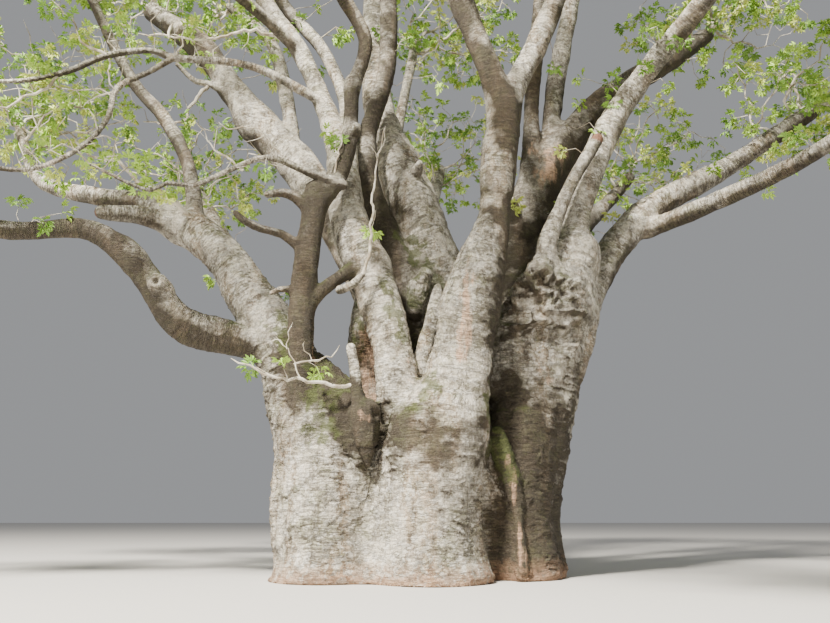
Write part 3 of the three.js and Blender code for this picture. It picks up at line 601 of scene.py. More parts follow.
# %% Where a point lies on its limb
BLEND = 0.12  # metres over which a point's heading passes from one limb's to the next
CLEAR = 0.25  # metres between two limbs at which a point clearly belongs to the nearer
LIMB_REACH = 0.5  # metres from a limb within which it has a say
TRUNK_RADIUS = 1.2
TRUNK_END = TRUNK_SPACE[1][2] + 0.4
GRAIN_SHIFT = 7.3  # metres, so that no two limbs show the same pattern
SIDEWAYS = (0.15, 1, 0.1)  # along no limb, to start a limb's own measures from
ROWS = 4000  # points worked out at a time


def place_on(points, chain):
    """Distance to a limb, its radius and heading there, and the point's place in the limb's own
    measures: two across it and the length along it."""
    places, radii, lengths = chain
    spans = np.diff(places, axis=0)
    ways = unit(spans)
    sides = unit(np.cross(ways, SIDEWAYS))
    distance, radius, cone, share, away = nearest_cone(points, places, radii)
    way, side = ways[cone], sides[cone]
    offset = away - share[:, None] * spans[cone]
    along = lengths[cone] + share * np.diff(lengths)[cone]
    across = (offset * side).sum(1), (offset * np.cross(way, side)).sum(1)
    return distance, radius, way, np.stack([*across, along], 1)


def places_on_limbs(points):
    """For each point: the radius and heading of the wood there and how brown its bark is painted,
    partly as painted shade, blended from all that is near, its place in the nearest limb's own
    measures, and how clearly that limb is the nearest, from 0 to 1."""
    trunk = trunk_distance(points)
    trunk[points[:, 2] > TRUNK_END] = FAR
    best, second = trunk.copy(), np.full(len(points), FAR)
    lobe_weights = [np.exp(-lobe_distance(points, lobe) / BLEND) for lobe in LOBES]
    lobe_brown_and_shade = sum(weight * lobe["brown_and_shade"] for weight, lobe in zip(lobe_weights, LOBES))
    weights = np.exp(-trunk / BLEND)
    radius = TRUNK_RADIUS * weights
    brown_and_shade = weights * lobe_brown_and_shade / (sum(lobe_weights) + 1e-12)
    heading = np.outer(weights, (0, 0, 1))
    grain = points.copy()
    for number, (name, chain) in enumerate(CHAINS.items()):
        places, radii, _ = chain
        margin = radii.max() + LIMB_REACH
        inside = (points > places.min(0) - margin) & (points < places.max(0) + margin)
        index = np.flatnonzero(inside.all(1))
        for rows in np.array_split(index, len(index) // ROWS + 1):
            near, reach, way, own = place_on(points[rows], chain)
            own[:, 2] += GRAIN_SHIFT * number
            weight = np.exp(-near / BLEND)
            weights[rows] += weight
            radius[rows] += weight * reach
            heading[rows] += weight[:, None] * way
            brown_and_shade[rows] += weight * LIMB_BROWN_AND_SHADE.get(name, BROWN_AND_SHADE_ELSEWHERE)
            nearer = near < best[rows]
            second[rows] = np.where(nearer, best[rows], np.minimum(second[rows], near))
            best[rows] = np.minimum(best[rows], near)
            grain[rows[nearer]] = own[nearer]
    clear = np.clip((second - best) / CLEAR, 0, 1)
    return radius / weights, unit(heading), brown_and_shade / weights, grain, clear


fork_wood = places_on_limbs(np.array([[0.0, -1.5, 4.0]]))
print("wood at the fork", [part.round(2).tolist() for part in fork_wood[:3]])

# %% Lumps, folds and wrinkles
LUMPS = [  # how far apart, how high, and how high at most against the limb's radius
    (1.5, 0.10, 0.10),
    (0.62, 0.05, 0.075),
    (0.27, 0.02, 0.05),
    (0.12, 0.008, 0.03),
]
FOLD_WIDTH = 0.4
FOLD_LENGTH = 1.1
FOLD_HEIGHT = 0.055
FOLD_MOST = 0.08  # the highest fold against the limb's radius
WRINKLE_WIDTH = 0.15
WRINKLE_LENGTH = 0.55
WRINKLE_DEPTH = 0.036
WRINKLE_MOST = 0.05  # the deepest wrinkle against the limb's radius
WRINKLE_EDGE = 0.09  # how near zero its noise has to be for a wrinkle: what makes it narrow
FINE_EDGE = 0.1
WRINKLE_WAVE = 0.25  # how far wrinkles stray from straight across
WAVE_SIZE = 0.7
ROUGH_SIZE = 1.1  # metres across a rough or a smooth stretch of bark
ROUGH_MEAN, ROUGH_SPREAD = 0.75, 0.9
WRINKLED = 0.2, 0.8  # how wrinkled the smoothest and the roughest stretch is
SMOOTHER_FROM = 3  # metres up
SMOOTHER = 0.07  # how much smoother the bark is with each metre above that
COMB_SAMPLES = 5
COMB_GAIN = 0.42  # brings the sum of the samples back to between about -1 and 1


def combed(points, way, length, width, seed):
    """Noise drawn out along a direction, from some samples along it."""
    steps = np.linspace(-0.5, 0.5, COMB_SAMPLES)
    return sum(noise((points + way * (length * step)) / width, seed) for step in steps) * COMB_GAIN


def wrinkles(points, normals, heading):
    """How deep each point lies in a broad and in a fine wrinkle, from 0 to 1."""
    wave = noise(points / WAVE_SIZE, SEED + 19)
    across = unit(np.cross(heading, normals) + heading * (WRINKLE_WAVE * wave)[:, None])
    broad = combed(points, across, WRINKLE_LENGTH, WRINKLE_WIDTH, SEED + 20)
    fine = combed(points, across, WRINKLE_LENGTH * 0.5, WRINKLE_WIDTH * 0.5, SEED + 22)
    high_up = np.maximum(0, points[:, 2] - SMOOTHER_FROM) * SMOOTHER
    rough = ROUGH_MEAN + ROUGH_SPREAD * noise(points / ROUGH_SIZE, SEED + 21)
    share = np.clip(rough - high_up, *WRINKLED)
    return share * np.exp(-(broad / WRINKLE_EDGE) ** 2), share * np.exp(-(fine / FINE_EDGE) ** 2)


# %% Knobs of the burls
KNOB_SIZE = 0.4, 0.4, 0.24
SMALL_KNOB_SIZE = 0.13
SMALL_KNOBS = 0.45
KNOB_BEND = 0.1
KNOB_BEND_SIZE = 0.3
GNARL_EDGE = 1.3  # how steeply a burl gets less lumpy towards its edge


def gnarls(points):
    """How lumpy a point is made by the burls near it, in metres."""
    total = np.zeros(len(points))
    for middle, reach, high in GNARLS:
        away = np.linalg.norm(points - middle, axis=1) / reach
        total = np.maximum(total, high * np.clip(GNARL_EDGE - away * GNARL_EDGE, 0, 1))
    return total


def knobs_at(points):
    """Rounded knobs, high in their middles and 0 in the creases between them."""
    bend = [noise(points / KNOB_BEND_SIZE, SEED + 32 + axis) for axis in range(3)]
    bent = points + KNOB_BEND * np.stack(bend, 1)
    small = SMALL_KNOBS * np.abs(noise(bent / SMALL_KNOB_SIZE, SEED + 31))
    return np.abs(noise(bent / KNOB_SIZE, SEED + 30)) + small


# %% The relief put on the skin
KNOB_RISE = 2.4
KNOB_TOP = 0.6  # where a knob flattens off
KNOB_FOOT = 0.7  # how far below the bark it starts
CRACK_EDGE = 0.14
# how dark the painted shade in a crease between knobs is at most
CRACK_SHADE = 0.5
CRACKED = 0.04  # metres of lumpiness from which the painted shade in the creases between knobs is full
WRINKLE_REST = 0.3  # how far the bark bulges between wrinkles, against their depth
FINE_SHARE = 0.4  # how deep a fine wrinkle is, against a broad one
FINE_DARK = 0.6  # how much painted shade a fine wrinkle gets, against a broad one
FOOT_FADE = 0.12  # metres above the ground over which the relief sets in
ON_GROUND = 0.6 * VOXEL  # how high a point may be to be put down flat on the ground


def relief(points, normals, radius, heading):
    """How far each point of the skin moves out, and how much painted shade it gets where it lies in
    a wrinkle or in a crease between knobs, from 0 to 1.
    """
    height = np.zeros(len(points))
    for number, (apart, high, most) in enumerate(LUMPS):
        height += np.minimum(high, most * radius) * noise(points / apart, SEED + number)
    folds = combed(points, heading, FOLD_LENGTH, FOLD_WIDTH, SEED + 10)
    height += np.minimum(FOLD_HEIGHT, FOLD_MOST * radius) * folds
    wrinkle, fine = wrinkles(points, normals, heading)
    depth = np.minimum(WRINKLE_DEPTH, WRINKLE_MOST * radius)
    height -= depth * (wrinkle - WRINKLE_REST + FINE_SHARE * fine)
    lumps = gnarls(points)
    knobs = knobs_at(points)
    height += lumps * (KNOB_RISE * np.minimum(knobs, KNOB_TOP) - KNOB_FOOT)
    # Painted shade in the creases between the knobs of a burl; it darkens the colour only.
    cracks = CRACK_SHADE * np.clip(1 - knobs / CRACK_EDGE, 0, 1) * np.clip(lumps / CRACKED, 0, 1)
    fade = np.clip(points[:, 2] / FOOT_FADE, 0, 1)
    # The painted shade of the wrinkles and of the creases between knobs
    dark = np.maximum(np.maximum(wrinkle, FINE_DARK * fine), cracks)
    return height * fade, np.clip(dark, 0, 1)


def skin_relief(points, faces):
    radius, heading, brown_and_shade, grain, clear = places_on_limbs(points)
    normals = outward(points, faces)
    height, groove_shade = relief(points, normals, radius, heading)
    moved = points + normals * height[:, None]
    moved[:, 2] = np.maximum(moved[:, 2], 0)
    moved[points[:, 2] < ON_GROUND, 2] = 0
    return moved, grain, np.stack([height, groove_shade, clear], 1), brown_and_shade


skin, skin_grain, skin_shape, skin_brown_and_shade = skin_relief(fine_points, fine_faces)
print("relief from", round(skin_shape[:, 0].min(), 3), "to", round(skin_shape[:, 0].max(), 3), "m")

# %% [markdown]
# Some tones have a place on the tree: moss in the crotches, bark rubbed down to orange-brown,
# painted shade in the clefts and on the shaded stems, a sawn end. A noise pattern can't know these
# places. Each is given as a short line in space with a reach, and the skin's points near that line
# carry the stain or the painted shade, so the material needs no image. Noise makes the edges
# ragged.

# %% Stains and painted shade that have a place
MOSSY = [  # where moss grows: from, to, and how far out it reaches
    ((-2.05, -1.5, 4.2), (-1.95, -1.6, 3.0), 0.4), ((1.75, -1.4, 3.2), (1.9, -1.3, 2.2), 0.4),
    ((0.3, -1.9, 3.9), (0.1, -1.9, 3.5), 0.3), ((-0.24, 0.2, 7.9), (0.71, 0.2, 6.3), 0.3),
    ((-0.6, -1.5, 6.2), (-0.2, -1.4, 5), 0.25), ((1.5, -1.6, 3.6), (1.55, -1.6, 3), 0.35),
    ((-2.9, -0.8, 5.5), (-2.7, -1, 4.8), 0.4), ((0.02, -0.2, 6.5), (0.02, -0.2, 6.2), 0.35),
    ((0.6, 0.1, 5.8), (0.4, 0, 5), 0.4), ((-1.3, -0.3, 6), (-1.4, -0.4, 4.6), 0.25),
]
BARED = [  # the same where the bark is rubbed down to orange-brown
    ((1.16, -1.95, 7), (0.98, -2.05, 4.4), 0.17), ((0.3, -1.7, 4.7), (0.05, -1.8, 4), 0.14),
    ((-0.06, -1.5, 5), (-0.1, -1.6, 4.1), 0.13), ((0.24, -0.1, 8.4), (0.5, -0.1, 7.3), 0.3),
    ((1.95, -1.35, 2.4), (2.18, -1.2, 0.4), 0.13), ((-1.1, -1.95, 3.3), (-0.98, -1.95, 3.2), 0.1),
    ((-1.05, -0.4, 5.3), (-1, -0.4, 3.9), 0.4), ((-2.15, -1.2, 8), (-2.15, -1.2, 4.5), 0.12),
    ((3.35, 0.7, 9.8), (3.6, 0.75, 10.4), 0.5), ((3.05, 0.8, 12.5), (3.0, 0.8, 10.5), 0.4),
    ((2.9, -1, 4.9), (2.95, -1, 4.2), 0.3),
]
CUT = [  # where a limb was sawn off
    ((4.44, -0.3, 10.25), (4.5, -0.3, 10.4), 0.24), ((-7.5, -0.3, 8.25), (-7.6, -0.35, 8.2), 0.13),
]
# Painted shade: the clefts, the feet of the stems and the shaded sides of stems are painted darker
# brown for the shade that falls there; part of it is the bark's own browner tone.
PAINTED_SHADE = [  # where painted shade darkens the bark: from, to, how far out, and how dark at most
    ((-2.4, -1.3, 4.7), (-1.5, -1.7, 3.5), 0.75, 1.3),
    ((1.63, -1.3, 4.2), (1.8, -1.3, 2.5), 0.5, 1.3),
    ((-1.75, -1.6, 3.7), (-1.45, -1.6, 2.9), 0.4, 1.1),
    ((-1.05, -1.8, 3.4), (-0.95, -1.9, 2.3), 0.45, 1.3),
    ((2.35, -0.1, 8), (2.5, 0.3, 6.9), 0.7, 1.2), ((2.1, -1.5, 9.6), (2.1, -1.5, 10.8), 0.5, 1.1),
    ((1.98, -1.35, 5), (2.2, -1.2, 7.8), 0.75, 1.3), ((2.2, -1.2, 7.8), (2.45, -1, 10.5), 0.4, 1.3),
    ((2, -1, 4), (2.1, -1, 1.5), 0.6, 1.2), ((3.1, -1, 5.2), (3.3, -0.9, 4.9), 0.3, 1),
    ((1.2, -2.1, 2.7), (-0.5, -2.1, 3), 0.75, 0.68),
    ((-0.5, -2.1, 2.9), (-0.55, -2, 2.2), 0.3, 0.7),
]
print("spots", len(MOSSY) + len(BARED) + len(CUT) + len(PAINTED_SHADE))

# %% The edges of the stains and of the painted shade
RAGGED = 0.35  # how ragged the edge of a stain or of painted shade is
EDGE_SIZE = 0.5, 0.5, 0.16
CRUMB_SIZE = 0.13
CRUMBS = 0.6
MARK_FULL, MARK_FADE = 1.8, 1.6  # how far out a stain or painted shade is whole, and how fast it fades from there


def mark_share(points, spots, ragged=RAGGED):
    """How strongly some spots mark each point: with a stain, and in the shaded places with painted
    shade. A spot is a start, a stop, how far out it reaches and, where it isn't 1, how strong it is
    at most."""
    crumbs = CRUMBS * noise(points / CRUMB_SIZE, SEED + 51)
    edge = ragged * (noise(points / EDGE_SIZE, SEED + 50) + crumbs)
    total = np.zeros(len(points))
    for start, stop, reach, *most in spots:
        distance = nearest_cone(points, np.array([start, stop], float), np.zeros(2))[0]
        share = np.clip(MARK_FULL - MARK_FADE * (distance / reach + edge), 0, 1)
        total = np.maximum(total, share * (most[0] if most else 1))
    return total


skin_stains = np.stack([mark_share(skin, MOSSY), mark_share(skin, BARED), mark_share(skin, CUT, 0)], 1)
# The places of painted shade raise how brown and dark the bark is painted.
skin_brown_and_shade = np.maximum(skin_brown_and_shade, mark_share(skin, PAINTED_SHADE))
print("mark_share", [round(float(share), 3) for share in (skin_stains > 0.3).mean(0)])

# %% [markdown]
# The skin has far more faces than its flatter stretches need, so it is thinned out, which keeps
# the small faces where the relief is sharp. Then it is parted into five pieces, each
# small enough to handle. They share their shading normals, so no seam shows between them.

# %% Which piece each face of the skin goes to
PARTS = {  # what each piece of bark stands for
    "bark_trunk": ["trunk", "stub_near"],
    "bark_left": [
        "stem_left", "bough_left_high", "stub_left", "branch_left_rising", "bough_low_inner",
        "bough_low_outer", "bough_far_left", "bough_far_left_top", "branch_far_left"],
    "bark_middle": [
        "stem_dark", "limb_bent_lower", "limb_bent_upper", "branch_crooked", "stem_pale",
        "bough_pale", "branch_pale", "branch_thin", "branch_drooping", "branch_near_left",
        "stem_shaded", "stem_back", "stem_front", "stem_front_left", "stem_front_right",
        "branch_forward_middle", "branch_forward_right"],
    "bark_right": [
        "stem_right", "limb_sawn", "bough_right", "bough_right_low", "branch_right_near",
        "bough_far_right", "stem_tan", "stem_grey"],
    "bark_back": ["bough_back_left", "bough_back", "branch_back_top", "bough_back_right"],
}
FORK_HEIGHT = 4.4
LEFT_OF, RIGHT_OF, BEHIND = -2.6, 2.6, 3.2


def part_at(middles):
    """Which piece of bark each face goes to, by where its middle lies."""
    x, y, z = middles.T
    part = np.where(x < LEFT_OF, 1, np.where(x > RIGHT_OF, 3, 2))
    part[y > BEHIND] = 4
    part[z < FORK_HEIGHT] = 0
    return part


print("pieces of bark", list(PARTS))


# %% Meshes from arrays
def mesh_of(name, points, faces, attributes=()):
    """A mesh object from arrays. An attribute is a name and one value or vector for each point."""
    mesh = bpy.data.meshes.new(name)
    mesh.vertices.add(len(points))
    mesh.vertices.foreach_set("co", np.ascontiguousarray(points, np.float32).ravel())
    mesh.loops.add(faces.size)
    mesh.loops.foreach_set("vertex_index", np.ascontiguousarray(faces, np.int32).ravel())
    mesh.polygons.add(len(faces))
    starts = np.arange(0, faces.size, faces.shape[1], dtype=np.int32)
    mesh.polygons.foreach_set("loop_start", starts)
    for label, values in attributes:
        kind, field = ("FLOAT_VECTOR", "vector") if values.ndim == 2 else ("FLOAT", "value")
        layer = mesh.attributes.new(label, kind, "POINT")
        layer.data.foreach_set(field, np.ascontiguousarray(values, np.float32).ravel())
    mesh.update(calc_edges=True)
    mesh.shade_smooth()
    piece = bpy.data.objects.new(name, mesh)
    bpy.context.scene.collection.objects.link(piece)
    return piece


def read_points(mesh, label, width):
    values = np.empty(len(mesh.vertices) * width, np.float32)
    if label == "co":
        mesh.vertices.foreach_get("co", values)
    else:
        mesh.attributes[label].data.foreach_get("vector" if width == 3 else "value", values)
    return values.reshape(-1, width) if width > 1 else values


# %% Thinning and parting
SKIN_TRIANGLES = 400_000


def thinned(points, faces, attributes):
    """The same surface as triangles, with fewer of them, and its attributes carried along."""
    whole = mesh_of("skin", points, faces, attributes)
    modifier = whole.modifiers.new("thin", "DECIMATE")
    modifier.ratio = SKIN_TRIANGLES / len(faces)
    modifier.use_collapse_triangulate = True
    done = whole.evaluated_get(bpy.context.evaluated_depsgraph_get())
    mesh = bpy.data.meshes.new_from_object(done)
    bpy.data.objects.remove(whole)
    corners = np.empty(len(mesh.loops), np.int32)
    mesh.loops.foreach_get("vertex_index", corners)
    kept = [(label, read_points(mesh, label, 3 if values.ndim == 2 else 1))
            for label, values in attributes]
    return read_points(mesh, "co", 3), corners.reshape(-1, 3), kept


def bark_pieces():
    carried = dict(grain=skin_grain, shape=skin_shape, stains=skin_stains, brown_and_shade=skin_brown_and_shade)
    points, faces, attributes = thinned(skin, fine_faces, list(carried.items()))
    normals = outward(points, faces)
    part = part_at(points[faces].mean(1))
    pieces = {}
    for number, name in enumerate(PARTS):
        own = faces[part == number]
        used, renumbered = np.unique(own, return_inverse=True)
        own_attributes = [(label, values[used]) for label, values in attributes]
        piece = mesh_of(name, points[used], renumbered.reshape(own.shape), own_attributes)
        piece.data.normals_split_custom_set_from_vertices(normals[used].tolist())
        pieces[name] = piece
    return pieces


bark = bark_pieces()
print("bark", {name: len(piece.data.polygons) for name, piece in bark.items()})
for name, piece in bark.items():
    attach(piece, "root")
    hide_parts(*PARTS[name])


# %% [markdown]
# # Twigs
# A real crown fills its space by a simple rule: each free bit of light draws the nearest twig
# towards it. Here each mass of foliage is scattered with such points. Every twig end grows a
# step towards the points that it is nearest to, until it reaches them, and starts from the limbs
# that enter the mass. Each stretch is as thick as what it carries asks.

# %% How thick each stretch is
TIP_RADIUS = 0.010
PIPE = 2.25  # a stretch's radius to this power goes up with the number of tips that it carries
SEED_SHARE = 0.9  # the thickest that a twig may be at its limb, against the limb


def radii_of(parents, tips, seed_radii):
    """Each stretch's radius, and how many tips it carries."""
    load = np.zeros(len(parents))
    load[tips] = 1
    for node in range(len(parents) - 1, -1, -1):
        if parents[node] >= 0:
            load[parents[node]] += load[node]
    radii = TIP_RADIUS * np.maximum(load, 1) ** (1 / PIPE)
    roots = len(seed_radii)
    radii[:roots] = np.minimum(radii[:roots], seed_radii * SEED_SHARE)
    for node in range(roots, len(parents)):
        radii[node] = min(radii[node], radii[parents[node]])
    return radii, load


# %% The growing rule
STEP = 0.34
REACHED = 0.42
MOST_STEPS = 60
WANDER = 0.33  # how crooked a twig grows, against its heading
LIFT = 0.10


def grow(seeds, seed_radii, targets, rng):
    """Twigs from the seeds to the targets: places, parents, radii, loads and the target nodes."""
    places, parents = seeds.copy(), np.full(len(seeds), -1)
    waiting = np.arange(len(targets))
    joined = np.full(len(targets), -1)
    for _ in range(MOST_STEPS):
        gaps = np.linalg.norm(targets[waiting, None] - places, axis=2)
        nearest = gaps.argmin(1)
        close = gaps[np.arange(len(waiting)), nearest] < REACHED
        joined[waiting[close]] = nearest[close]
        waiting, nearest = waiting[~close], nearest[~close]
        if not len(waiting):
            break
        pull = unit(targets[waiting] - places[nearest])
        growing, which = np.unique(nearest, return_inverse=True)
        heading = unit(np.stack([np.bincount(which, pull[:, axis]) for axis in range(3)], 1))
        heading += rng.normal(0, WANDER, heading.shape)
        heading[:, 2] += LIFT
        places = np.vstack([places, places[growing] + unit(heading) * STEP])
        parents = np.concatenate([parents, growing])
    else:
        joined[waiting] = nearest
    tips = len(places) + np.arange(len(targets))
    places = np.vstack([places, targets])
    parents = np.concatenate([parents, joined])
    return places, parents, *radii_of(parents, tips, seed_radii), tips


# %% Grown twigs as runs
COLLAR = 1.35  # how much thicker a twig may be where it leaves a thicker one


def runs_of(places, parents, radii, load):
    """The grown nodes as runs, each from its fork to a tip, the thickest child going on."""
    children = {}
    for node in np.flatnonzero((parents >= 0) & (load > 0)):
        children.setdefault(int(parents[node]), []).append(int(node))
    runs = []
    starts = [(int(root), child) for root in np.flatnonzero(parents < 0)
              for child in children.get(int(root), [])]
    while starts:
        fork, node = starts.pop()
        run = [fork, node]
        while node in children:
            following = sorted(children[node], key=lambda child: -load[child])
            starts += [(node, child) for child in following[1:]]
            node = following[0]
            run.append(node)
        run_radii = radii[run].copy()
        run_radii[0] = min(run_radii[0], run_radii[1] * COLLAR)
        runs.append((places[run], run_radii))
    return runs


# %% Where the twigs of each mass start and end
MASS_TARGETS = 150
EDGE_CROWDING = 0.42  # under 1: more of the sprays lie near a mass's outside
MASS_LUMPS = 0.16
MASS_LUMP_TURN = 1.7  # how many lumps there are round a mass, roughly
MASS_FILL = 0.95  # how near its outside the sprays come
MASS_UNDERSIDE = 0.8  # how deep a mass is below its middle, against its height above
SEED_REACH = 1.12  # how far outside a mass its twigs may start, against its size
SEED_RADIUS = 0.34  # the thickest limb that carries twigs, in metres


def half_of(width):
    return np.array([width, width * MASS_DEPTH, width * MASS_HEIGHT]) / 2


def in_mass(name, count, rng):
    """Points scattered through a mass of foliage, more of them near its outside."""
    middle, width = MASSES[name]
    heading = unit(rng.normal(size=(count, 3)))
    reach = rng.random(count) ** EDGE_CROWDING
    lumps = 1 + MASS_LUMPS * noise(heading * MASS_LUMP_TURN + len(name), SEED + 40)
    points = heading * (reach * lumps * MASS_FILL)[:, None] * half_of(width)
    points[:, 2] *= np.where(points[:, 2] < 0, MASS_UNDERSIDE, 1)
    return points + middle


def seeds_near(middle, width):
    """Places on the limbs inside a mass or just short of it, with the limb's radius there."""
    places, radii = [], []
    for chain_places, chain_radii, _ in (CHAINS[name] for name in LIMBS):
        inside = np.linalg.norm((chain_places - middle) / (half_of(width) * SEED_REACH), axis=1) < 1
        inside &= chain_radii < SEED_RADIUS
        places.append(chain_places[inside][::-2])
        radii.append(chain_radii[inside][::-2])
    return np.vstack(places), np.concatenate(radii)


# %% Sprigs on limbs in the open
SPRIGS = {  # how many sprays a limb carries outside the masses
    "branch_thin": 34, "branch_drooping": 30, "branch_crooked": 24, "bough_low_outer": 10,
    "bough_left_high": 12, "branch_left_rising": 16, "bough_pale": 14, "branch_pale": 12,
    "limb_bent_upper": 16, "branch_near_left": 16, "branch_far_left": 8, "stem_shaded": 8,
    "branch_forward_middle": 14, "branch_forward_right": 10, "branch_right_near": 12,
    "bough_right_low": 12, "bough_right": 12, "stem_front_left": 10, "stem_front_right": 10,
    "bough_far_right": 10, "bough_back_left": 10, "bough_back": 10, "bough_back_right": 10,
    "branch_back_top": 8, "bough_far_left_top": 8,
}
SPRIG_REACH = 0.35, 1.5  # metres out of the limb's bark
SPRIG_RISE, SPRIG_DROP = 0.8, 0.1  # they point up more than down
LEAFLESS = {  # share of a limb's sprigs that end bare
    "branch_thin": 0.6, "branch_drooping": 0.65, "branch_crooked": 0.65,
}


def sprig_targets(name, count, rng):
    """Where the sprigs of one limb start and end, over the outer two thirds of it."""
    places, radii, _ = CHAINS[name]
    first = len(places) // 3
    chosen = rng.integers(first, len(places), count)
    away = unit(rng.normal(0, 1, (count, 3)))
    away[:, 2] = np.abs(away[:, 2]) * SPRIG_RISE - SPRIG_DROP
    reach = radii[chosen] + rng.uniform(*SPRIG_REACH, count)
    return places[first:], radii[first:], places[chosen] + away * reach[:, None]


# %% All the grown twigs
def all_twigs():
    """Every run of twig with its radii, and every spray's place and heading."""
    rng = np.random.default_rng(SEED)
    runs, sprays, jobs = [], [], []
    for name, (middle, width) in MASSES.items():
        targets = in_mass(name, MASS_TARGETS, rng)
        jobs.append((name, *seeds_near(np.array(middle), width), targets))
    for name, count in SPRIGS.items():
        seeds, radii, targets = sprig_targets(name, count, rng)
        jobs.append((name, seeds, radii, targets))
    for name, seeds, radii, targets in jobs:
        places, parents, thick, load, tips = grow(seeds, radii, targets, rng)
        runs += runs_of(places, parents, thick, load)
        for tip in tips[rng.random(len(tips)) >= LEAFLESS.get(name, 0)]:
            sprays.append((places[tip], unit(places[tip] - places[parents[tip]])))
    return runs, sprays


twig_runs, sprays = all_twigs()
print("grown runs", len(twig_runs), "sprays", len(sprays))

# %% [markdown]
# Single thin branches draw crooked lines across the gaps of the crown, and much of a tree's
# character is in them. A growing rule wouldn't put them there, so their waypoints are given, and
# small random steps make them crooked. Each has a few side twigs, and some of those a spray.

# %% Thin crooked branches that are almost bare
BARE = {  # waypoints, thickness at both ends, and how many side twigs
    "snag_branch": ([
        (-1.21, -1.75, 3.86), (-1.69, -1.9, 3.89), (-2.28, -2.1, 3.96), (-2.89, -2.3, 3.97),
        (-3.28, -2.4, 4.15), (-3.62, -2.5, 4.32)], 0.085, 0.03, 2),
    "snag_twig_left": ([
        (-2.24, -2.1, 3.94), (-2.42, -2.05, 4.2), (-2.62, -2, 4.6),
        (-2.88, -2, 4.9)], 0.04, 0.015, 1),
    "snag_twig_up": ([(-2.62, -2, 4.6), (-2.59, -2, 4.85), (-2.54, -2, 5.11)], 0.03, 0.015, 0),
    "snag_twig_right": ([
        (-2.46, -2.05, 4.28), (-1.98, -2, 4.41), (-1.72, -1.95, 4.5),
        (-1.51, -1.9, 4.69)], 0.045, 0.02, 3),
    "hanging_stem": ([
        (-1.11, -1.7, 6.28), (-0.97, -1.75, 6.89), (-0.93, -1.75, 7.67), (-0.92, -1.75, 8.25),
        (-0.84, -1.7, 8.82), (-0.7, -1.6, 9.8)], 0.085, 0.025, 3),
    "crooked_up": ([
        (-3.7, -2.12, 8.5), (-4.07, -2.2, 8.77), (-4.41, -2.2, 9.03),
        (-4.54, -2.2, 9.44)], 0.06, 0.02, 3),
    "crooked_twig": ([
        (-3.02, -1.88, 8.8), (-2.81, -1.9, 9.04), (-2.8, -1.9, 9.27)], 0.045, 0.02, 1),
    "crooked_root_twig": ([
        (-1.83, -1.48, 8.55), (-1.75, -1.5, 9.03), (-1.67, -1.5, 9.37),
        (-1.6, -1.4, 10.07)], 0.06, 0.02, 2),
    "thin_side": ([
        (-8.01, -2, 10.85), (-8.16, -2.1, 10.51), (-8.48, -2.2, 10.23), (-8.96, -2.4, 9.81),
        (-9.4, -2.6, 9.3)], 0.085, 0.03, 4),
    "thin_up": ([
        (-7.1, -1.7, 11.55), (-7.49, -1.9, 11.71), (-7.62, -1.95, 11.81), (-7.79, -2, 12.26),
        (-8.3, -2.1, 12.7)], 0.07, 0.025, 4),
    "thin_twig": ([(-5.62, -1.3, 11.75), (-5.47, -1.35, 12.2), (-5.45, -1.4, 12.4)], 0.05, 0.02, 2),
    "thin_hanging": ([
        (-7.05, -1.65, 11.5), (-7.01, -1.65, 11.17), (-6.88, -1.65, 10.74)], 0.05, 0.035, 0),
    "droop_side": ([
        (-6.78, -1.65, 10.69), (-7.01, -1.7, 10.59), (-7.24, -1.8, 10.38),
        (-7.4, -1.9, 10.15)], 0.06, 0.02, 2),
    "pale_high": ([
        (-3.0, 0.05, 12.9), (-4.08, -0.6, 12.93), (-4.87, -0.9, 12.49), (-5.86, -1.2, 12.35),
        (-6.51, -1.4, 12.32)], 0.1, 0.03, 5),
    "pale_high_stub": ([(-5.86, -1.2, 12.33), (-5.77, -1.2, 12.7)], 0.07, 0.06, 0),
    "knee_low": ([
        (-5.9, 2.5, 13.18), (-6.16, 2.4, 12.78), (-6.3, 2.3, 12.35), (-6.49, 2.2, 11.87),
        (-6.93, 2.1, 11.79), (-7.45, 2, 11.82)], 0.12, 0.04, 5),
    "left_pale": ([
        (-5.3, 0.2, 8.2), (-6.03, -0.7, 8.65), (-6.42, -0.9, 8.79), (-6.79, -1, 9.16),
        (-7.41, -1.2, 9.27), (-7.9, -1.3, 9.8)], 0.13, 0.05, 5),
    "right_pale": ([
        (-2.9, -1.9, 8.95), (-3.3, -2, 9.4), (-3.61, -2.1, 9.53), (-4.04, -2.2, 9.41),
        (-4.26, -2.2, 9.55)], 0.05, 0.02, 2),
}
print("bare branches", len(BARE))

# %% Small random steps and side twigs
BARE_SPACING = 0.16
BARE_WANDER = 0.025
SIDE_TWIG_LEAN = 0.5  # how much a side twig follows its branch
SIDE_TWIG_LIFT = 0, 0, 0.35
SIDE_TWIG_WANDER = 0.35
SIDE_TWIG_STEPS = 3, 6
SIDE_TWIG_STEP = 0.09, 0.17
SIDE_TWIG_RADII = 0.013, 0.006
BARE_LEAFED = 0.45  # share of the side twigs that carry a spray


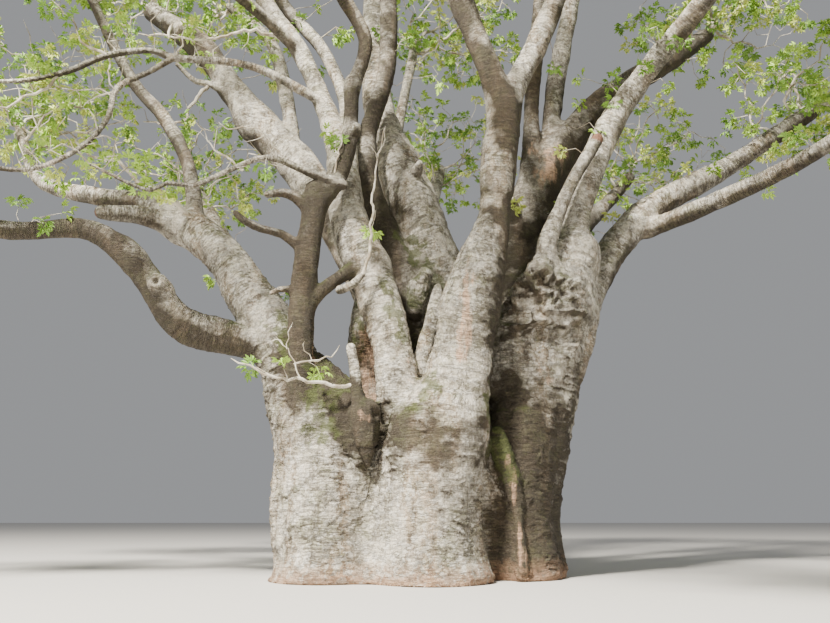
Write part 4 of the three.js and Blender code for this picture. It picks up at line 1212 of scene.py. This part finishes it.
def bare_branches():
    """Each bare branch and its side twigs as runs, and the few sprays that they carry."""
    rng = np.random.default_rng(SEED + 5)
    runs, tufts = [], []
    for path, start, stop, twig_count in BARE.values():
        places, steps = curve_through(path, BARE_SPACING)
        places[1:] += rng.normal(0, BARE_WANDER, places[1:].shape)
        runs.append((places, np.interp(steps, (0, len(path) - 1), (start, stop)) / 2))
        for _ in range(twig_count):
            node = rng.integers(2, len(places))
            along = unit(places[node] - places[node - 1])
            way = unit(SIDE_TWIG_LEAN * along + unit(rng.normal(0, 1, 3)) + SIDE_TWIG_LIFT)
            twig = [places[node]]
            for _ in range(rng.integers(*SIDE_TWIG_STEPS)):
                way = unit(way + rng.normal(0, SIDE_TWIG_WANDER, 3))
                twig.append(twig[-1] + way * rng.uniform(*SIDE_TWIG_STEP))
            runs.append((np.array(twig), np.linspace(*SIDE_TWIG_RADII, len(twig))))
            if rng.random() < BARE_LEAFED:
                tufts.append((twig[-1], way))
    return runs, tufts


bare_runs, bare_sprays = bare_branches()
twig_runs += bare_runs
sprays += bare_sprays
print("twig runs", len(twig_runs), "sprays", len(sprays))

# %% Which part of the crown a place is in
CROWN_PARTS = {
    "left": [
        "leaves_low_left", "leaves_left", "leaves_left_upper", "leaves_near_left",
        "leaves_far_left"],
    "middle": [
        "leaves_upper_left", "leaves_top", "leaves_top_near", "leaves_near", "leaves_near_low"],
    "right": [
        "leaves_near_right", "leaves_upper_right", "leaves_right_near", "leaves_right_upper",
        "leaves_right", "leaves_low_right"],
    "back": ["leaves_back_left", "leaves_back", "leaves_back_right", "leaves_back_top"],
}
CROWN_BEHIND, CROWN_LEFT, CROWN_RIGHT = 6, -6, 3.4


def crown_part(place):
    x, y, _ = place
    if y > CROWN_BEHIND:
        return "back"
    return "left" if x < CROWN_LEFT else "right" if x > CROWN_RIGHT else "middle"


print("crown parts", {part: len(masses) for part, masses in CROWN_PARTS.items()})

# %% Twigs as tapering tubes
TIP_SHARE = 0.45  # how thick a twig still is at its end
THIN, THICKER = 0.014, 0.024  # the radii up to which three and four sides do
STEEP = 0.9  # a run that starts steeper takes its first side from another direction


def sides_of(radius):
    return 3 if radius < THIN else 4 if radius < THICKER else 6


def tube_arrays(runs):
    """Points and four-sided faces of all the runs as one mesh."""
    points, faces, total = [], [], 0
    for run, radii in runs:
        sides = sides_of(radii[0])
        spans = unit(np.gradient(run, axis=0))
        side = np.cross(spans[0], (0.3, 0.2, 1) if abs(spans[0][2]) < STEEP else (1, 0, 0))
        turns = np.arange(sides) / sides * 2 * math.pi
        for step, (place, along, radius) in enumerate(zip(run, spans, radii)):
            side = unit(side - along * side.dot(along))
            other = np.cross(along, side)
            reach = radius * (TIP_SHARE if step == len(run) - 1 else 1)
            ring = np.cos(turns)[:, None] * side + np.sin(turns)[:, None] * other
            points.append(place + reach * ring)
            if step:
                here = total + (step - 1) * sides + np.arange(sides)
                following = total + (step - 1) * sides + (np.arange(sides) + 1) % sides
                faces.append(np.stack([here, following, following + sides, here + sides], 1))
        total += len(run) * sides
    return np.vstack(points), np.vstack(faces)


twigs = {}
for part in CROWN_PARTS:
    own = [run for run in twig_runs if crown_part(run[0][0]) == part]
    twigs[part] = mesh_of("twigs_" + part, *tube_arrays(own))
    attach(twigs[part], "root")
    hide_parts(*CROWN_PARTS[part])
print("twigs", {part: len(piece.data.polygons) for part, piece in twigs.items()})

# %% [markdown]
# # Leaves
# A baobab leaf is like an open hand: five to seven leaflets from the end of one stalk. They sit
# in a tuft at the end of each thick twig. A leaflet is an oval blade folded along its middle,
# four faces, and one leaf shape is copied, turned and bent a little differently each time. They
# are about a third larger than life, to keep their number down.

# %% One leaf
LEAFLET = 0.15
LEAFLET_SIZES = 0.9, 1.1
LEAFLET_WIDTH = 0.36  # against its length
STALK = 0.14
STALK_WIDTH = 0.007
FAN = [-78, -40, 0, 40, 78]  # degrees
FAN_JITTER = 8
OUTER_SHORTER = 0.32  # how much shorter a leaflet at a right angle to the stalk would be
OUTLINE = [(0, 0), (0.34, 0.36), (0.70, 0.5), (1, 0), (0.70, -0.5), (0.34, -0.36)]
OUTLINE_TRIANGLES = (0, 2, 1), (0, 3, 2), (0, 4, 3), (0, 5, 4)


def leaf_shape(droop, fold, seed):
    """Points and triangles of one leaf. Its stalk starts at the origin and runs along +X."""
    rng = np.random.default_rng(seed)
    stalk = (0, -1), (0, 1), (STALK, 1), (STALK, -1)
    points = [(along, across * STALK_WIDTH, 0) for along, across in stalk]
    faces = [(0, 1, 2), (0, 2, 3)]
    for angle in FAN:
        turn = math.radians(angle + rng.uniform(-FAN_JITTER, FAN_JITTER))
        length = LEAFLET * (1 - OUTER_SHORTER * abs(angle) / 90) * rng.uniform(*LEAFLET_SIZES)
        faces += [tuple(len(points) + corner for corner in face) for face in OUTLINE_TRIANGLES]
        for along, across in OUTLINE:
            out, aside = along * length, across * LEAFLET_WIDTH * length
            height = fold * abs(across) * length - droop * length * along ** 2
            points.append((STALK + out * math.cos(turn) - aside * math.sin(turn),
                           out * math.sin(turn) + aside * math.cos(turn), height))
    return np.array(points), np.array(faces)


DROOPS_AND_FOLDS = [(0.2, 0.35), (0.38, 0.25), (0.1, 0.45), (0.55, 0.3)]
LEAF_SHAPES = [leaf_shape(*bend, number) for number, bend in enumerate(DROOPS_AND_FOLDS)]
print("one leaf", len(LEAF_SHAPES[0][0]), "points", len(LEAF_SHAPES[0][1]), "triangles")

# %% Sprays of leaves
SPRAY_LEAVES = (6, 11)
GOLDEN_TURN = math.pi * (3 - math.sqrt(5))  # from one leaf round the twig to the next
SPRAY_LEAN = 0.5, 1.35  # how far a leaf leans out from its twig, in radians
SPRAY_SAG = 0, 0.35
SPRAY_LENGTH = 0.12
FACE_TURN = 0.45
ANY_TURN = 6.3  # radians
ASLANT = (0.1, 0.3, 1)  # along hardly any twig, to start the turns from


def spray_of(place, heading, rng):
    """Where each leaf of one tuft starts, its heading and the way its face looks."""
    count = rng.integers(*SPRAY_LEAVES)
    side = unit(np.cross(heading, ASLANT))
    other = np.cross(heading, side)
    turns = np.arange(count) * GOLDEN_TURN + rng.uniform(0, ANY_TURN)
    lean = rng.uniform(*SPRAY_LEAN, count)
    round_about = np.cos(turns)[:, None] * side + np.sin(turns)[:, None] * other
    ways = np.cos(lean)[:, None] * heading + np.sin(lean)[:, None] * round_about
    ways[:, 2] -= rng.uniform(*SPRAY_SAG, count)
    starts = place - heading * rng.uniform(0, SPRAY_LENGTH, count)[:, None]
    ups = np.array((0, 0, 1)) + rng.normal(0, FACE_TURN, (count, 3))
    return starts, unit(ways), ups


# %% The leaves of each part of the crown
LEAF_SIZES = (0.75, 1.3)
LEAF_TINTS = [(0.33, 0.50, 0.07), (0.20, 0.36, 0.05), (0.52, 0.60, 0.13)]
TINT_SHARES = 0.42, 0.38, 0.20


def leaves_of(part):
    """All the leaves of one part of the crown: points, triangles and each triangle's tint."""
    rng = np.random.default_rng(SEED + 60 + list(CROWN_PARTS).index(part))
    starts, ways, ups, tints = [], [], [], []
    for place, heading in sprays:
        if crown_part(place) != part:
            continue
        own = spray_of(place, heading, rng)
        for group, values in zip((starts, ways, ups), own):
            group.append(values)
        tints.append(np.full(len(own[0]), rng.choice(len(LEAF_TINTS), p=TINT_SHARES)))
    starts, ways, ups, tints = (np.concatenate(group) for group in (starts, ways, ups, tints))
    across = unit(np.cross(ups, ways))
    frames = np.stack([ways, across, np.cross(ways, across)], 2)
    frames *= rng.uniform(*LEAF_SIZES, (len(ways), 1, 1))
    kinds = rng.integers(0, len(LEAF_SHAPES), len(ways))
    points, faces, tones, total = [], [], [], 0
    for kind, (shape, triangles) in enumerate(LEAF_SHAPES):
        rows = np.flatnonzero(kinds == kind)
        placed = np.einsum("nij,pj->npi", frames[rows], shape) + starts[rows, None]
        points.append(placed.reshape(-1, 3))
        numbers = total + np.arange(len(rows))[:, None, None] * len(shape) + triangles
        faces.append(numbers.reshape(-1, 3))
        tones.append(np.repeat(tints[rows], len(triangles)))
        total += len(rows) * len(shape)
    return np.vstack(points), np.vstack(faces), np.concatenate(tones)


leaves = {}
for part in CROWN_PARTS:
    leaf_points, leaf_faces, leaf_tones = leaves_of(part)
    leaves[part] = mesh_of("foliage_" + part, leaf_points, leaf_faces)
    leaves[part].data.polygons.foreach_set("material_index", leaf_tones.astype(np.int32))
    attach(leaves[part], "root")
    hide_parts(*CROWN_PARTS[part])
print("leaves", {part: len(piece.data.polygons) for part, piece in leaves.items()})

# %% [markdown]
# # The finish of the bark
# Baobab bark is pale and smooth-skinned: grey-beige, with tan and orange-brown where it has
# rubbed or flaked, grey-white lichen in small spots, dark runs of water down the stems, moss on
# what faces up in the damp crotches, and red dust on the foot. Painted shade darkens the clefts,
# wrinkles and creases, and with brown bark the undersides and the shaded stems. Each of those is
# a mask over one base tone. The masks come from one small node group, used by every finish here.


# %% Nodes and groups of nodes
def fill(tree, socket, source):
    """Links a socket to another one, or gives it a number, a vector or a colour."""
    if isinstance(source, bpy.types.NodeSocket):
        tree.links.new(source, socket)
    elif socket.type == "RGBA":
        socket.default_value = (*source, 1)
    else:
        socket.default_value = source


def add(tree, kind, inputs=(), **settings):
    """A node with its settings, and its inputs by socket name or number."""
    node = tree.nodes.new("ShaderNode" + kind)
    for key, value in settings.items():
        setattr(node, key, value)
    for key, source in dict(inputs).items():
        fill(tree, node.inputs[key], source)
    return node


def new_group(name, inputs, outputs):
    """A node group with named inputs (name, kind, value) and outputs (name, kind)."""
    group = bpy.data.node_groups.new(name, "ShaderNodeTree")
    for label, kind, value in inputs:
        socket = group.interface.new_socket(label, in_out="INPUT", socket_type="NodeSocket" + kind)
        if value is not None:
            socket.default_value = value
    for label, kind in outputs:
        group.interface.new_socket(label, in_out="OUTPUT", socket_type="NodeSocket" + kind)
    entry, leave = group.nodes.new("NodeGroupInput"), group.nodes.new("NodeGroupOutput")
    return group, entry.outputs, leave.inputs


def use(tree, group, **inputs):
    return add(tree, "Group", inputs, node_tree=group).outputs


# %% Sums, ramps and blends
def math_node(tree, kind, *sources):
    return add(tree, "Math", enumerate(sources), operation=kind).outputs[0]


def sums_in(tree):
    """Functions that give the product, sum, difference, higher and lower of two sockets."""
    kinds = "MULTIPLY", "ADD", "SUBTRACT", "MAXIMUM", "MINIMUM"
    return [functools.partial(math_node, tree, kind) for kind in kinds]


def ramp(tree, source, low, high, kind="LINEAR"):
    """0 at `low` and beyond, 1 at `high` and beyond. Either may be the lower number."""
    ends = {"Value": source, "From Min": low, "From Max": high}
    return add(tree, "MapRange", ends, interpolation_type=kind).outputs["Result"]


def stretched(tree, place, factors):
    return add(tree, "VectorMath", {0: place, 1: factors}, operation="MULTIPLY").outputs[0]


def parts(tree, source):
    return add(tree, "SeparateXYZ", {0: source}).outputs


def blend_colour(tree, share, base, other):
    return add(tree, "Mix", {0: share, 6: base, 7: other}, data_type="RGBA").outputs[2]


# %% Patches: where one tone gives way to another
def patches_group():
    group, given, result = new_group(
        "patches",
        [("Place", "Vector", None), ("Size", "Float", 1.0), ("Cover", "Float", 0.5),
         ("Edge", "Float", 0.1), ("Detail", "Float", 5.0)],
        [("Mask", "Float")])
    times, plus, minus, _, _ = sums_in(group)
    scale = math_node(group, "DIVIDE", 1.0, given["Size"])
    cloud = add(group, "TexNoise", {
        "Vector": given["Place"], "Scale": scale, "Detail": given["Detail"], "Roughness": 0.6})
    middle = minus(0.75, times(given["Cover"], 0.5))
    low, high = minus(middle, given["Edge"]), plus(middle, given["Edge"])
    fill(group, result["Mask"], ramp(group, cloud.outputs["Fac"], low, high, "SMOOTHSTEP"))
    return group


PATCHES = patches_group()
print("nodes in patches", len(PATCHES.nodes))

# %% Fine relief: creases too small to be modelled
CREASE_STRETCH = (2.6, 2.6, 15.0)
CREASE_SHARP = 20.0


def creases_at(group, place):
    """Fine lines that run across the third axis of a place, 1 between them and 0 in them."""
    times, _, minus, _, lower = sums_in(group)
    bands = add(group, "TexNoise", {
        "Vector": stretched(group, place, CREASE_STRETCH),
        "Scale": 1.0, "Detail": 4.0, "Roughness": 0.6, "Distortion": 0.5})
    away = math_node(group, "ABSOLUTE", minus(bands.outputs["Fac"], 0.5))
    return lower(times(away, CREASE_SHARP), 1.0)


# %% Fine relief: the whole crust
FLAKE_WARP = (0.3, 0.3, 0.3)
FLAKE_SHARP = 12.0
PORES_HIGH, FLAKES_HIGH = 0.9, 0.2


def crust_group():
    """Pores, flakes and cross creases. The creases follow the limb's own measures where Clear is
    1, and lie level where it is 0, between two limbs."""
    group, given, result = new_group(
        "crust",
        [("Place", "Vector", None), ("Grain", "Vector", None), ("Clear", "Float", 1.0),
         ("Crease", "Float", 0.5)],
        [("Height", "Float"), ("Line", "Float")])
    times, plus, minus, _, lower = sums_in(group)
    place = given["Place"]
    level, own = creases_at(group, place), creases_at(group, given["Grain"])
    crease = add(group, "Mix", {0: given["Clear"], 2: level, 3: own}, data_type="FLOAT").outputs[0]
    pores = add(group, "TexNoise", {
        "Vector": place, "Scale": 26.0, "Detail": 6.0, "Roughness": 0.65})
    warp = add(group, "TexNoise", {"Vector": place, "Scale": 4.0, "Detail": 3.0})
    bent = add(group, "VectorMath", {
        0: warp.outputs["Color"], 1: FLAKE_WARP, 2: place}, operation="MULTIPLY_ADD")
    flakes = add(group, "TexVoronoi", {
        "Vector": bent.outputs[0], "Scale": 9.0, "Randomness": 1.0}, feature="DISTANCE_TO_EDGE")
    cracks = lower(times(flakes.outputs["Distance"], FLAKE_SHARP), 1.0)
    height = plus(times(pores.outputs["Fac"], PORES_HIGH), times(crease, given["Crease"]))
    fill(group, result["Height"], plus(height, times(cracks, FLAKES_HIGH)))
    # Line: 1 in a fine crease, where the bark paints shade
    fill(group, result["Line"], minus(1.0, crease))
    return group


CRUST = crust_group()
print("nodes in crust", len(CRUST.nodes))

# %% Masks on the bark
MASKS = {  # how wide a patch is in metres, how much they cover, how soft their edge is, and detail
    "broad": (1.5, 0.5, 0.16, 3), "grey": (0.55, 0.5, 0.09, 5), "green": (0.4, 0.42, 0.09, 5),
    "spots": (0.14, 0.42, 0.04, 5), "specks": (0.045, 0.34, 0.04, 5), "dark": (0.06, 0.42, 0.05, 5),
    "tufts": (0.22, 0.5, 0.08, 5),
}
RUN_MASKS = {  # the same for patches that are drawn out down the stems
    "tan": (0.6, 0.38, 0.07, 5), "runs": (0.15, 0.36, 0.07, 5), "rubbed": (0.12, 0.5, 0.12, 5),
}
RUN_STRETCH = (1.0, 1.0, 0.16)
CARRIED = {"shape": ("height", "groove_shade", "clear"), "stains": ("mossy", "bared", "cut")}


def carried(tree, label):
    """What the skin's points carry under a name."""
    return add(tree, "Attribute", attribute_name=label).outputs


def bark_masks(tree, place):
    """Every mask of the bark by its name: from noise, and from what the skin's points carry."""
    masks = {}
    for where, kinds in ((place, MASKS), (stretched(tree, place, RUN_STRETCH), RUN_MASKS)):
        for name, (size, cover, edge, detail) in kinds.items():
            mask = use(tree, PATCHES, Place=where, Size=size, Cover=cover, Edge=edge, Detail=detail)
            masks[name] = mask["Mask"]
    for label, names in CARRIED.items():
        masks.update(zip(names, parts(tree, carried(tree, label)["Vector"])))
    masks["brown_and_shade"] = carried(tree, "brown_and_shade")["Fac"]
    masks["upward"] = parts(tree, add(tree, "NewGeometry").outputs["Normal"])["Z"]
    masks["level"] = parts(tree, place)["Z"]
    return masks


# %% The bark's tones
# The darkest brown stands partly for brown bark and partly for painted shade. The near-black tone
# laid in grooves and hollows is painted shade, and the dark run tone is also painted shade along
# the fine crease lines.
BARK_TONES = dict(
    pale=(0.82, 0.75, 0.63), grey=(0.40, 0.36, 0.29), brown_and_shade=(0.034, 0.023, 0.010),
    tan=(0.46, 0.315, 0.19), bared_wood=(0.72, 0.46, 0.30), cut_wood=(0.20, 0.10, 0.065),
    lichen=(0.87, 0.84, 0.77), green_lichen=(0.25, 0.26, 0.13), moss=(0.075, 0.095, 0.018),
    run_stain_and_crease_shade=(0.06, 0.045, 0.03), dust=(0.40, 0.235, 0.14), hollow_shade=(0.05, 0.038, 0.024))
print("tones", list(BARK_TONES))


# %% What lies over the pale bark
def bark_layers(tree, mask, line):
    """The layers, lowest first: a mask, how strong it is at most, and a tone."""
    times, plus, minus, higher, _ = sums_in(tree)

    def fading(one, most, less):
        """A mask that is weaker the browner and more shaded the bark is painted."""
        return times(one, minus(most, times(browner_and_shaded, less)))

    # Painted shade: undersides are darker, partly damp bark and partly the shade that falls there.
    # The brown layer is partly the bark's own brown and partly painted shade.
    underside_shade = ramp(tree, mask["upward"], 0.1, -0.6)
    damp_and_shade = plus(plus(mask["brown_and_shade"], times(underside_shade, 0.7)), times(minus(mask["broad"], 0.5), 0.7))
    browner_and_shaded = ramp(tree, damp_and_shade, 0.15, 0.95)
    spotted, specked = fading(mask["spots"], 0.62, 0.6), fading(mask["specks"], 0.56, 0.52)
    rubbed = plus(mask["bared"], times(minus(mask["rubbed"], 1.0), 0.8))
    worn = ramp(tree, plus(mask["green"], times(mask["grey"], 0.6)), 0.1, 0.9)
    settled = times(times(ramp(tree, mask["upward"], 0.2, 0.7), mask["green"]),
                    ramp(tree, mask["level"], 9.5, 5.5))
    tufted = plus(mask["mossy"], times(minus(mask["tufts"], 0.8), 0.9))
    wet = plus(mask["level"], times(mask["spots"], 0.18))
    return [
        (mask["grey"], 0.85, "grey"),
        (browner_and_shaded, 0.98, "brown_and_shade"),
        (fading(mask["tan"], 0.6, 0.48), 1, "tan"),
        (fading(times(mask["green"], mask["broad"]), 0.6, 0.45), 1, "green_lichen"),
        (mask["runs"], 0.55, "run_stain_and_crease_shade"),
        (higher(spotted, specked), 1, "lichen"),
        (ramp(tree, rubbed, 0.0, 0.8), 0.8, "bared_wood"),
        (mask["dark"], 0.32, "run_stain_and_crease_shade"),
        # Painted shade along the fine crease lines
        (times(line, worn), 0.6, "run_stain_and_crease_shade"),
        # Painted shade in the wrinkles and creases between knobs, and where the relief is sunken
        (mask["groove_shade"], 0.65, "hollow_shade"),
        (ramp(tree, mask["height"], -0.03, -0.15), 0.35, "hollow_shade"),
        (higher(settled, ramp(tree, tufted, 0.1, 0.8)), 0.72, "moss"),
        (ramp(tree, mask["cut"], 0.25, 0.45), 1, "cut_wood"),
        (ramp(tree, wet, 0.5, 0.04), 0.8, "dust"),
    ]


# %% The bark material
def new_material(name, roughness):
    """A material, its nodes, and the inputs of its shader."""
    material = bpy.data.materials.new(name)
    material.use_nodes = True
    shader = material.node_tree.nodes["Principled BSDF"]
    shader.inputs["Roughness"].default_value = roughness
    return material, material.node_tree, shader.inputs


def bumped(tree, shader, height, strength, distance):
    bump = add(tree, "Bump", {"Strength": strength, "Distance": distance, "Height": height})
    fill(tree, shader["Normal"], bump.outputs["Normal"])


def bark_material():
    material, tree, shader = new_material("baobab_bark", 0.85)
    place = add(tree, "TexCoord").outputs["Object"]
    mask = bark_masks(tree, place)
    grain = carried(tree, "grain")["Vector"]
    crust = use(tree, CRUST, Place=place, Grain=grain, Clear=mask["clear"], Crease=0.6)
    times, *_ = sums_in(tree)
    tone = BARK_TONES["pale"]
    for share, most, name in bark_layers(tree, mask, crust["Line"]):
        tone = blend_colour(tree, times(share, most), tone, BARK_TONES[name])
    fill(tree, shader["Base Color"], tone)
    dry = add(tree, "MapRange", {"Value": mask["spots"], "To Min": 0.78, "To Max": 0.93})
    fill(tree, shader["Roughness"], dry.outputs["Result"])
    bumped(tree, shader, crust["Height"], 1.0, 0.04)
    return material


BARK = bark_material()
for piece in bark.values():
    piece.data.materials.append(BARK)
print("bark nodes", len(BARK.node_tree.nodes))

# %% Twigs and leaves
TWIG_PALE = (0.66, 0.61, 0.52)
TWIG_BROWN = (0.30, 0.25, 0.18)
FLECK_PALER = 1.25
FLECK_SHARE = 0.6


def twig_material():
    material, tree, shader = new_material("twig_bark", 0.8)
    place = add(tree, "TexCoord").outputs["Object"]
    spots = use(tree, PATCHES, Place=place, Size=0.3, Cover=0.5, Edge=0.1)["Mask"]
    fill(tree, shader["Base Color"], blend_colour(tree, spots, TWIG_PALE, TWIG_BROWN))
    crust = use(tree, CRUST, Place=place, Grain=place, Clear=0.0, Crease=0.2)["Height"]
    bumped(tree, shader, crust, 0.5, 0.01)
    return material


def leaf_material(number):
    """One tint of leaf: a plain colour, a little paler in flecks."""
    material, tree, shader = new_material("leaf_tint_" + str(number + 1), 0.5)
    place = add(tree, "TexCoord").outputs["Object"]
    flecks = use(tree, PATCHES, Place=place, Size=0.05, Cover=0.5, Edge=0.15)["Mask"]
    times, *_ = sums_in(tree)
    tint = LEAF_TINTS[number]
    paler = tuple(min(1, value * FLECK_PALER) for value in tint)
    colour = blend_colour(tree, times(flecks, FLECK_SHARE), tint, paler)
    fill(tree, shader["Base Color"], colour)
    return material


TWIG = twig_material()
LEAF_FINISHES = [leaf_material(number) for number in range(len(LEAF_TINTS))]
for piece in twigs.values():
    piece.data.materials.append(TWIG)
for piece in leaves.values():
    for finish in LEAF_FINISHES:
        piece.data.materials.append(finish)
print("materials", [material.name for material in bpy.data.materials if material.users])

# %% [markdown]
# # The stage
# A plain pale floor under plain soft light. The light comes mostly from high in front on the
# left, with a little from the right and all around, so that the clefts stay dark.

# %% Floor
FLOOR_SIZE = 400.0


def floor():
    corners = np.array([(-1, -1, 0), (1, -1, 0), (1, 1, 0), (-1, 1, 0)]) * FLOOR_SIZE / 2
    plane = mesh_of("floor", corners, np.array([[0, 1, 2, 3]]))
    material, tree, shader = new_material("floor_pale", 0.9)
    fill(tree, shader["Base Color"], (0.62, 0.60, 0.57))
    plane.data.materials.append(material)


floor()


# %% Light
def lamp(name, place, towards, size, power, colour):
    data = bpy.data.lights.new(name, "AREA")
    data.shape = "SQUARE"
    data.size = size
    data.energy = power
    data.color = colour
    light = bpy.data.objects.new(name, data)
    light.location = place
    heading = np.array(towards, float) - np.array(place, float)
    light.rotation_euler = Vector(heading).to_track_quat("-Z", "Y").to_euler()
    bpy.context.scene.collection.objects.link(light)


def sky():
    world = bpy.data.worlds.new("soft_sky")
    world.use_nodes = True
    background = world.node_tree.nodes["Background"]
    background.inputs["Color"].default_value = (0.90, 0.92, 0.95, 1)
    background.inputs["Strength"].default_value = 0.36
    bpy.context.scene.world = world


lamp("sun_side", (-17, -28, 42), (0, 0, 5), 6, 112000, (1.0, 0.95, 0.85))
lamp("front_fill", (16, -34, 14), (0, 0, 6), 20, 700, (0.95, 0.97, 1.0))
sky()
print("lights", [light.name for light in bpy.data.lights])

# %% Camera
EYE = (0.0, -18.2, 1.25)
TILT = math.radians(14.35)
LENS = 35.0
SENSOR = 36.0


def camera():
    data = bpy.data.cameras.new("camera")
    data.lens = LENS
    data.sensor_width = SENSOR
    data.sensor_fit = "HORIZONTAL"
    data.clip_end = 500
    viewer = bpy.data.objects.new("camera", data)
    viewer.location = EYE
    viewer.rotation_euler = (math.pi / 2 + TILT, 0, 0)
    bpy.context.scene.collection.objects.link(viewer)
    bpy.context.scene.camera = viewer


camera()
print("eye", EYE, "lens", LENS, "mm")
